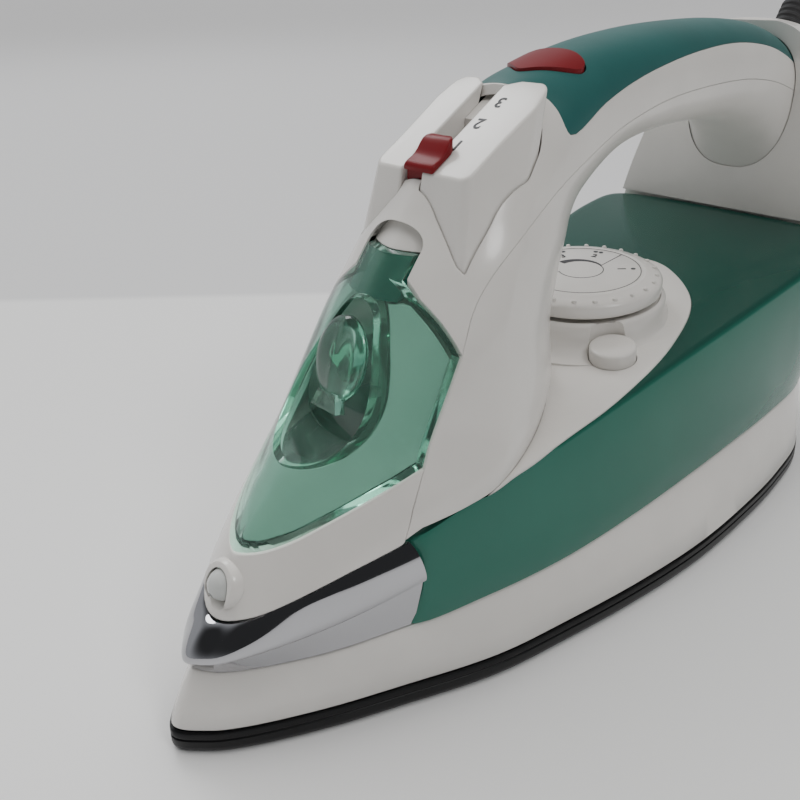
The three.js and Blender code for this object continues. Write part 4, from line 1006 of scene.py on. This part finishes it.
def make_buttons():
    levels = [(0.0, 0.65), (0.05, 0.4), (0.18, 0.18), (0.42, 0.04), (0.8, 0), (20, 0)]
    for name, outline in (("spray_button", LEFT_PAD), ("steam_burst_button", RIGHT_PAD)):
        # its front wall reaches further down, past the point where it goes into the shell
        front = [Vector((0, y, pad_top(y))) - PRESS * down
                 for y, down in ((80, 8), (96, 8), (96, 30), (80, 30))]
        skirt = keep(loft(pad_rings(outline, [(10, 0.02), (24.5, 0.02)])),
                     side_prism([(p.y, p.z) for p in front]))
        button = join(loft(pad_rings(outline, levels)), skirt)
        piece(button, name + "_cap", WHITE, name, sharp=50)

    def on_slope(distance, lift):
        y = PAD_FRONT + distance / math.hypot(1, PAD_SLOPE)
        return (y, pad_top(y) + lift)

    sections = [(-1.3, 0.3, 1.2, 0.3), (-1.2, 0.3, 1.55, 0.1), (-0.6, 0.3, 1.8, 0), (0.4, 0.3, 1.75, 0),
                (1.6, 0.3, 1.55, 0), (2.8, 0.3, 1.6, 0), (4, 0.3, 2.1, 0), (5, 0.3, 2.75, 0),
                (6, 0.3, 3.2, 0.05), (7, 0.3, 3.3, 0.35), (7.9, 0.3, 3.1, 0.95), (8.7, 0.3, 2.6, 1.9),
                (9.2, 0.35, 1.9, 3), (9.4, 0.4, 1.2, 3.9)]
    rings = []
    for d, low, high, narrow in sections:
        left, right = 5.4 - narrow, -4.2 + narrow
        r = min(0.7, (high - low) * 0.4)
        ring = []
        for x, lift in ((right, low), (left, low), (left, high - r), (left - 0.15 * r, high - 0.5 * r),
                        (left - 0.5 * r, high - 0.12 * r), (left - 1.1 * r, high), (0.6, high - 0.12),
                        (right + 1.1 * r, high), (right + 0.5 * r, high - 0.12 * r),
                        (right + 0.15 * r, high - 0.5 * r), (right, high - r)):
            y, z = on_slope(d, lift)
            ring.append(Vector((x, y, z)))
        rings.append(ring)
    cap = loft(rings)
    stem_side = [(0.4, 1), (0.4, -22), (7.4, -25), (7.4, 1)]
    join(cap, side_prism([on_slope(d, lift) for d, lift in stem_side], -4.4, 0.9))
    piece(cap, "steam_slider_knob", RED, "steam_slider")
    # the numbers beside the slider, to be read from the handle's side
    normal = Vector((0, -PAD_SLOPE, 1)).normalized()
    for text, x, y in (("1", 4.6, 96.5), ("2", 4.9, 103.8), ("3", 5.4, 111)):
        number("steam_number_" + text, text, 5.2, Vector((x, y, pad_top(y))),
               Vector((-1, 0, 0)), normal, "spray_key")


def number(name, text, height, where, reading, normal, body):
    """A printed number lying on a surface. reading is the way that it reads along."""
    curve = bpy.data.curves.new(name, "FONT")
    curve.body = text
    curve.size = height
    curve.align_x = "CENTER"
    curve.align_y = "CENTER"
    curve.extrude = 0.04
    curve.offset = 0.07
    typed = bpy.data.objects.new(name, curve)
    bpy.context.scene.collection.objects.link(typed)
    mesh = bpy.data.meshes.new_from_object(
        typed.evaluated_get(bpy.context.evaluated_depsgraph_get()))
    bpy.data.objects.remove(typed)
    reading = reading.normalized()
    up = normal.cross(reading).normalized()
    for vertex in mesh.vertices:
        p = vertex.co.copy()
        vertex.co = where + reading * p.x + up * p.y + normal * (p.z + 0.06)
    printed = bpy.data.objects.new(name, mesh)
    bpy.context.scene.collection.objects.link(printed)
    piece(printed, name, INK, body=body, slot="white_plastic")


# ---------------------------------------------------------------- heel
def heel_outline(inset):
    half = [(0, 150.8), (6, 150.6), (12, 149.4), (17, 147), (20.6, 143), (22.8, 138), (24.6, 133),
            (28, 127.6), (33, 118), (38, 104), (41.6, 92), (44.2, 80), (45, 62), (43.6, 46),
            (40.6, 39.5), (36, 35), (29, 32.8), (20, 32.2)]
    half = [(p.x, p.y) for p in centripetal([Vector(p) for p in half], 4, False)]
    if inset:
        half = [(max(x - inset, 0), max(min(z, 150.8 - inset), 32.2 + inset)) for x, z in half]
    return half + [(-x, z) for x, z in reversed(half[1:])]


def on_gland(t):
    return Vector((0, 276 + 0.6 * t, 134 + 0.8 * t))


def fixing_place(node):
    """The x and z of a foot's or a screw's middle, and the y of its outer face."""
    low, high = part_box(node)
    return (low.x + high.x) / 2 / MM, (low.z + high.z) / 2 / MM, (high.y - NOSE_Y) / MM


def make_heel():
    outside = smooth_line([(262, 148.9), (275, 139.2), (286, 130.9), (289.6, 127.6), (291.4, 124.6),
                           (292, 120.5)], 4) + smooth_line(
        [(292, 46), (291.3, 41), (289.2, 36.9), (285.6, 33.8), (280, 32.2)], 4)
    body = keep(front_prism(heel_outline(0), 240, 300), side_prism(
        [(255, 84.2), (255, 150.2), (255.8, 150.8), (259, 150.8)] + outside
        + [(257.6, 32.2), (257.6, 84.2)]))
    inside = side_prism([(250, 34.8), (250, 80), (257.7, 80), (257.7, 148.2), (260.6, 147.3),
                         (286.6, 127.8), (289.4, 121), (289.4, 46), (285, 37), (280, 34.8)])
    cut(body, keep(front_prism(heel_outline(WALL), 240, 300), inside), upper_body(-GAP),
        rod(12.8, on_gland(-12), on_gland(20), 64))
    feet = ["heel_foot_" + place for place in ("lower_left", "lower_right", "upper_left", "upper_right")]
    for node in feet + ["heel_screw_left", "heel_screw_right"]:
        x, z, face = fixing_place(node)
        cut(body, rod(2.3 if node in feet else 1.9, (x, 280, z), (x, 300, z), 24))
    piece(biggest(body), "heel_cover_shell", WHITE, "heel_cover", sharp=42)
    for node in feet:
        x, z, face = fixing_place(node)
        foot = turned([(0, 0.5), (2.6, 0.5), (3, 0), (5.3, 0), (5.8, 0.3), (6, 0.9), (6, 3.7), (2, 3.7),
                       (2, 8), (0, 8)], (x, face, z), (0, -1, 0))
        piece(foot, node + "_pad", RUBBER, node)
    seat = 9.4

    def arc(radius, start, end, steps):
        return [(math.sqrt(radius * radius - h * h), h)
                for h in (start + (end - start) * i / steps for i in range(steps + 1))]

    profile = arc(seat, -5, 5.2, 14) + [(8.2, 6.2), (8.9, 7), (11.6, 6.6), (12.3, 6), (12.5, 5.2),
                                        (12.5, -5), arc(seat, -5, -5, 1)[0]]
    piece(turned(profile, on_gland(0), (0, 0.6, 0.8), 72), "gland_collar_ring", WHITE, "gland_collar")
    grooves = []
    for i in range(5):
        t = 11.5 + 2.3 * i
        grooves += [(5, t), (4.5, t + 0.4), (4.5, t + 1.1), (5, t + 1.5)]
    profile = [(3.4, -7)] + arc(9, -7, 7.48, 16) + [(5, 8.6)] + grooves + [
        (5, 23), (4.8, 23.7), (4.2, 24), (3.4, 24), (3.4, -7)]
    piece(turned(profile, on_gland(0), (0, 0.6, 0.8), 48), "cord_gland_sleeve", RUBBER, "cord_gland")


# ---------------------------------------------------------------- everything together
def make_studio(ahead):
    bm = bmesh.new()
    bmesh.ops.create_grid(bm, x_segments=8, y_segments=8, size=6)
    mesh = bpy.data.meshes.new("floor")
    bm.to_mesh(mesh)
    bm.free()
    floor = bpy.data.objects.new("floor", mesh)
    bpy.context.scene.collection.objects.link(floor)
    floor.location = (0, 0, cad_low[2])
    n = Nodes("floor_paper")
    where = n.add("ShaderNodeTexCoord")
    # beyond a straight line behind the iron the floor is a little darker, standing in for the wall
    # behind the table
    along = n.add("ShaderNodeVectorMath", operation="DOT_PRODUCT")
    along.inputs[1].default_value = Vector((ahead.x, ahead.y, 0)).normalized()
    n.link(where, "Object", along, 0)
    edge = n.ramp(along, "Value", 0.205, 0.213, 0, 1)
    n.colour(edge, "Result", (0.83, 0.83, 0.83), (0.66, 0.66, 0.67))
    n.relief(500, 3, 0.05, 0.0002)
    n.set(Roughness=0.6)
    mesh.materials.append(n.material)
    # one soft sun for the room's even light, and two softboxes for the gleams
    sun = bpy.data.lights.new("ceiling", "SUN")
    sun.energy = 2.5
    sun.angle = math.radians(80)
    sun.color = (1, 0.99, 0.97)
    ceiling = bpy.data.objects.new("ceiling", sun)
    bpy.context.scene.collection.objects.link(ceiling)
    ceiling.visible_glossy = False
    ceiling.rotation_euler = Vector((0.17, -0.13, -0.97)).to_track_quat("-Z", "Y").to_euler()
    area_light("softbox", (0.86, -0.04, 0.94), (0, -0.04, 0.05), 0.34, 3.4)
    area_light("window", (-1.3, 0.35, 1.5), (0, 0, 0.05), 0.8, 9, (0.97, 0.985, 1))
    # the room: pale all round, and dark behind and above the camera
    world = bpy.data.worlds.new("studio")
    world.use_nodes = True
    tree = world.node_tree
    background = tree.nodes["Background"]
    where = tree.nodes.new("ShaderNodeTexCoord")
    towards = tree.nodes.new("ShaderNodeVectorMath")
    towards.operation = "DOT_PRODUCT"
    tree.links.new(where.outputs["Generated"], towards.inputs[0])
    towards.inputs[1].default_value = Vector((0.6, -0.1, 0.8)).normalized()
    fade = tree.nodes.new("ShaderNodeMapRange")
    fade.interpolation_type = "SMOOTHSTEP"
    set_range(fade, 0, 0.5, 0.53, 0.05)
    tree.links.new(towards.outputs["Value"], fade.inputs["Value"])
    tree.links.new(fade.outputs["Result"], background.inputs["Strength"])
    background.inputs["Color"].default_value = (0.95, 0.97, 1, 1)
    bpy.context.scene.world = world


make_studio(make_camera())
make_base()
make_nose()
make_window()
make_lid()
make_tank()
make_deck()
make_dial()
make_clean_button()
make_handle()
make_buttons()
make_heel()
for node, thing in frame["nodes"].items():
    if not thing.hide_render:
        thing.data.materials.clear()
        thing.data.materials.append(SLOT_MATERIALS[SLOT_OF[node]])
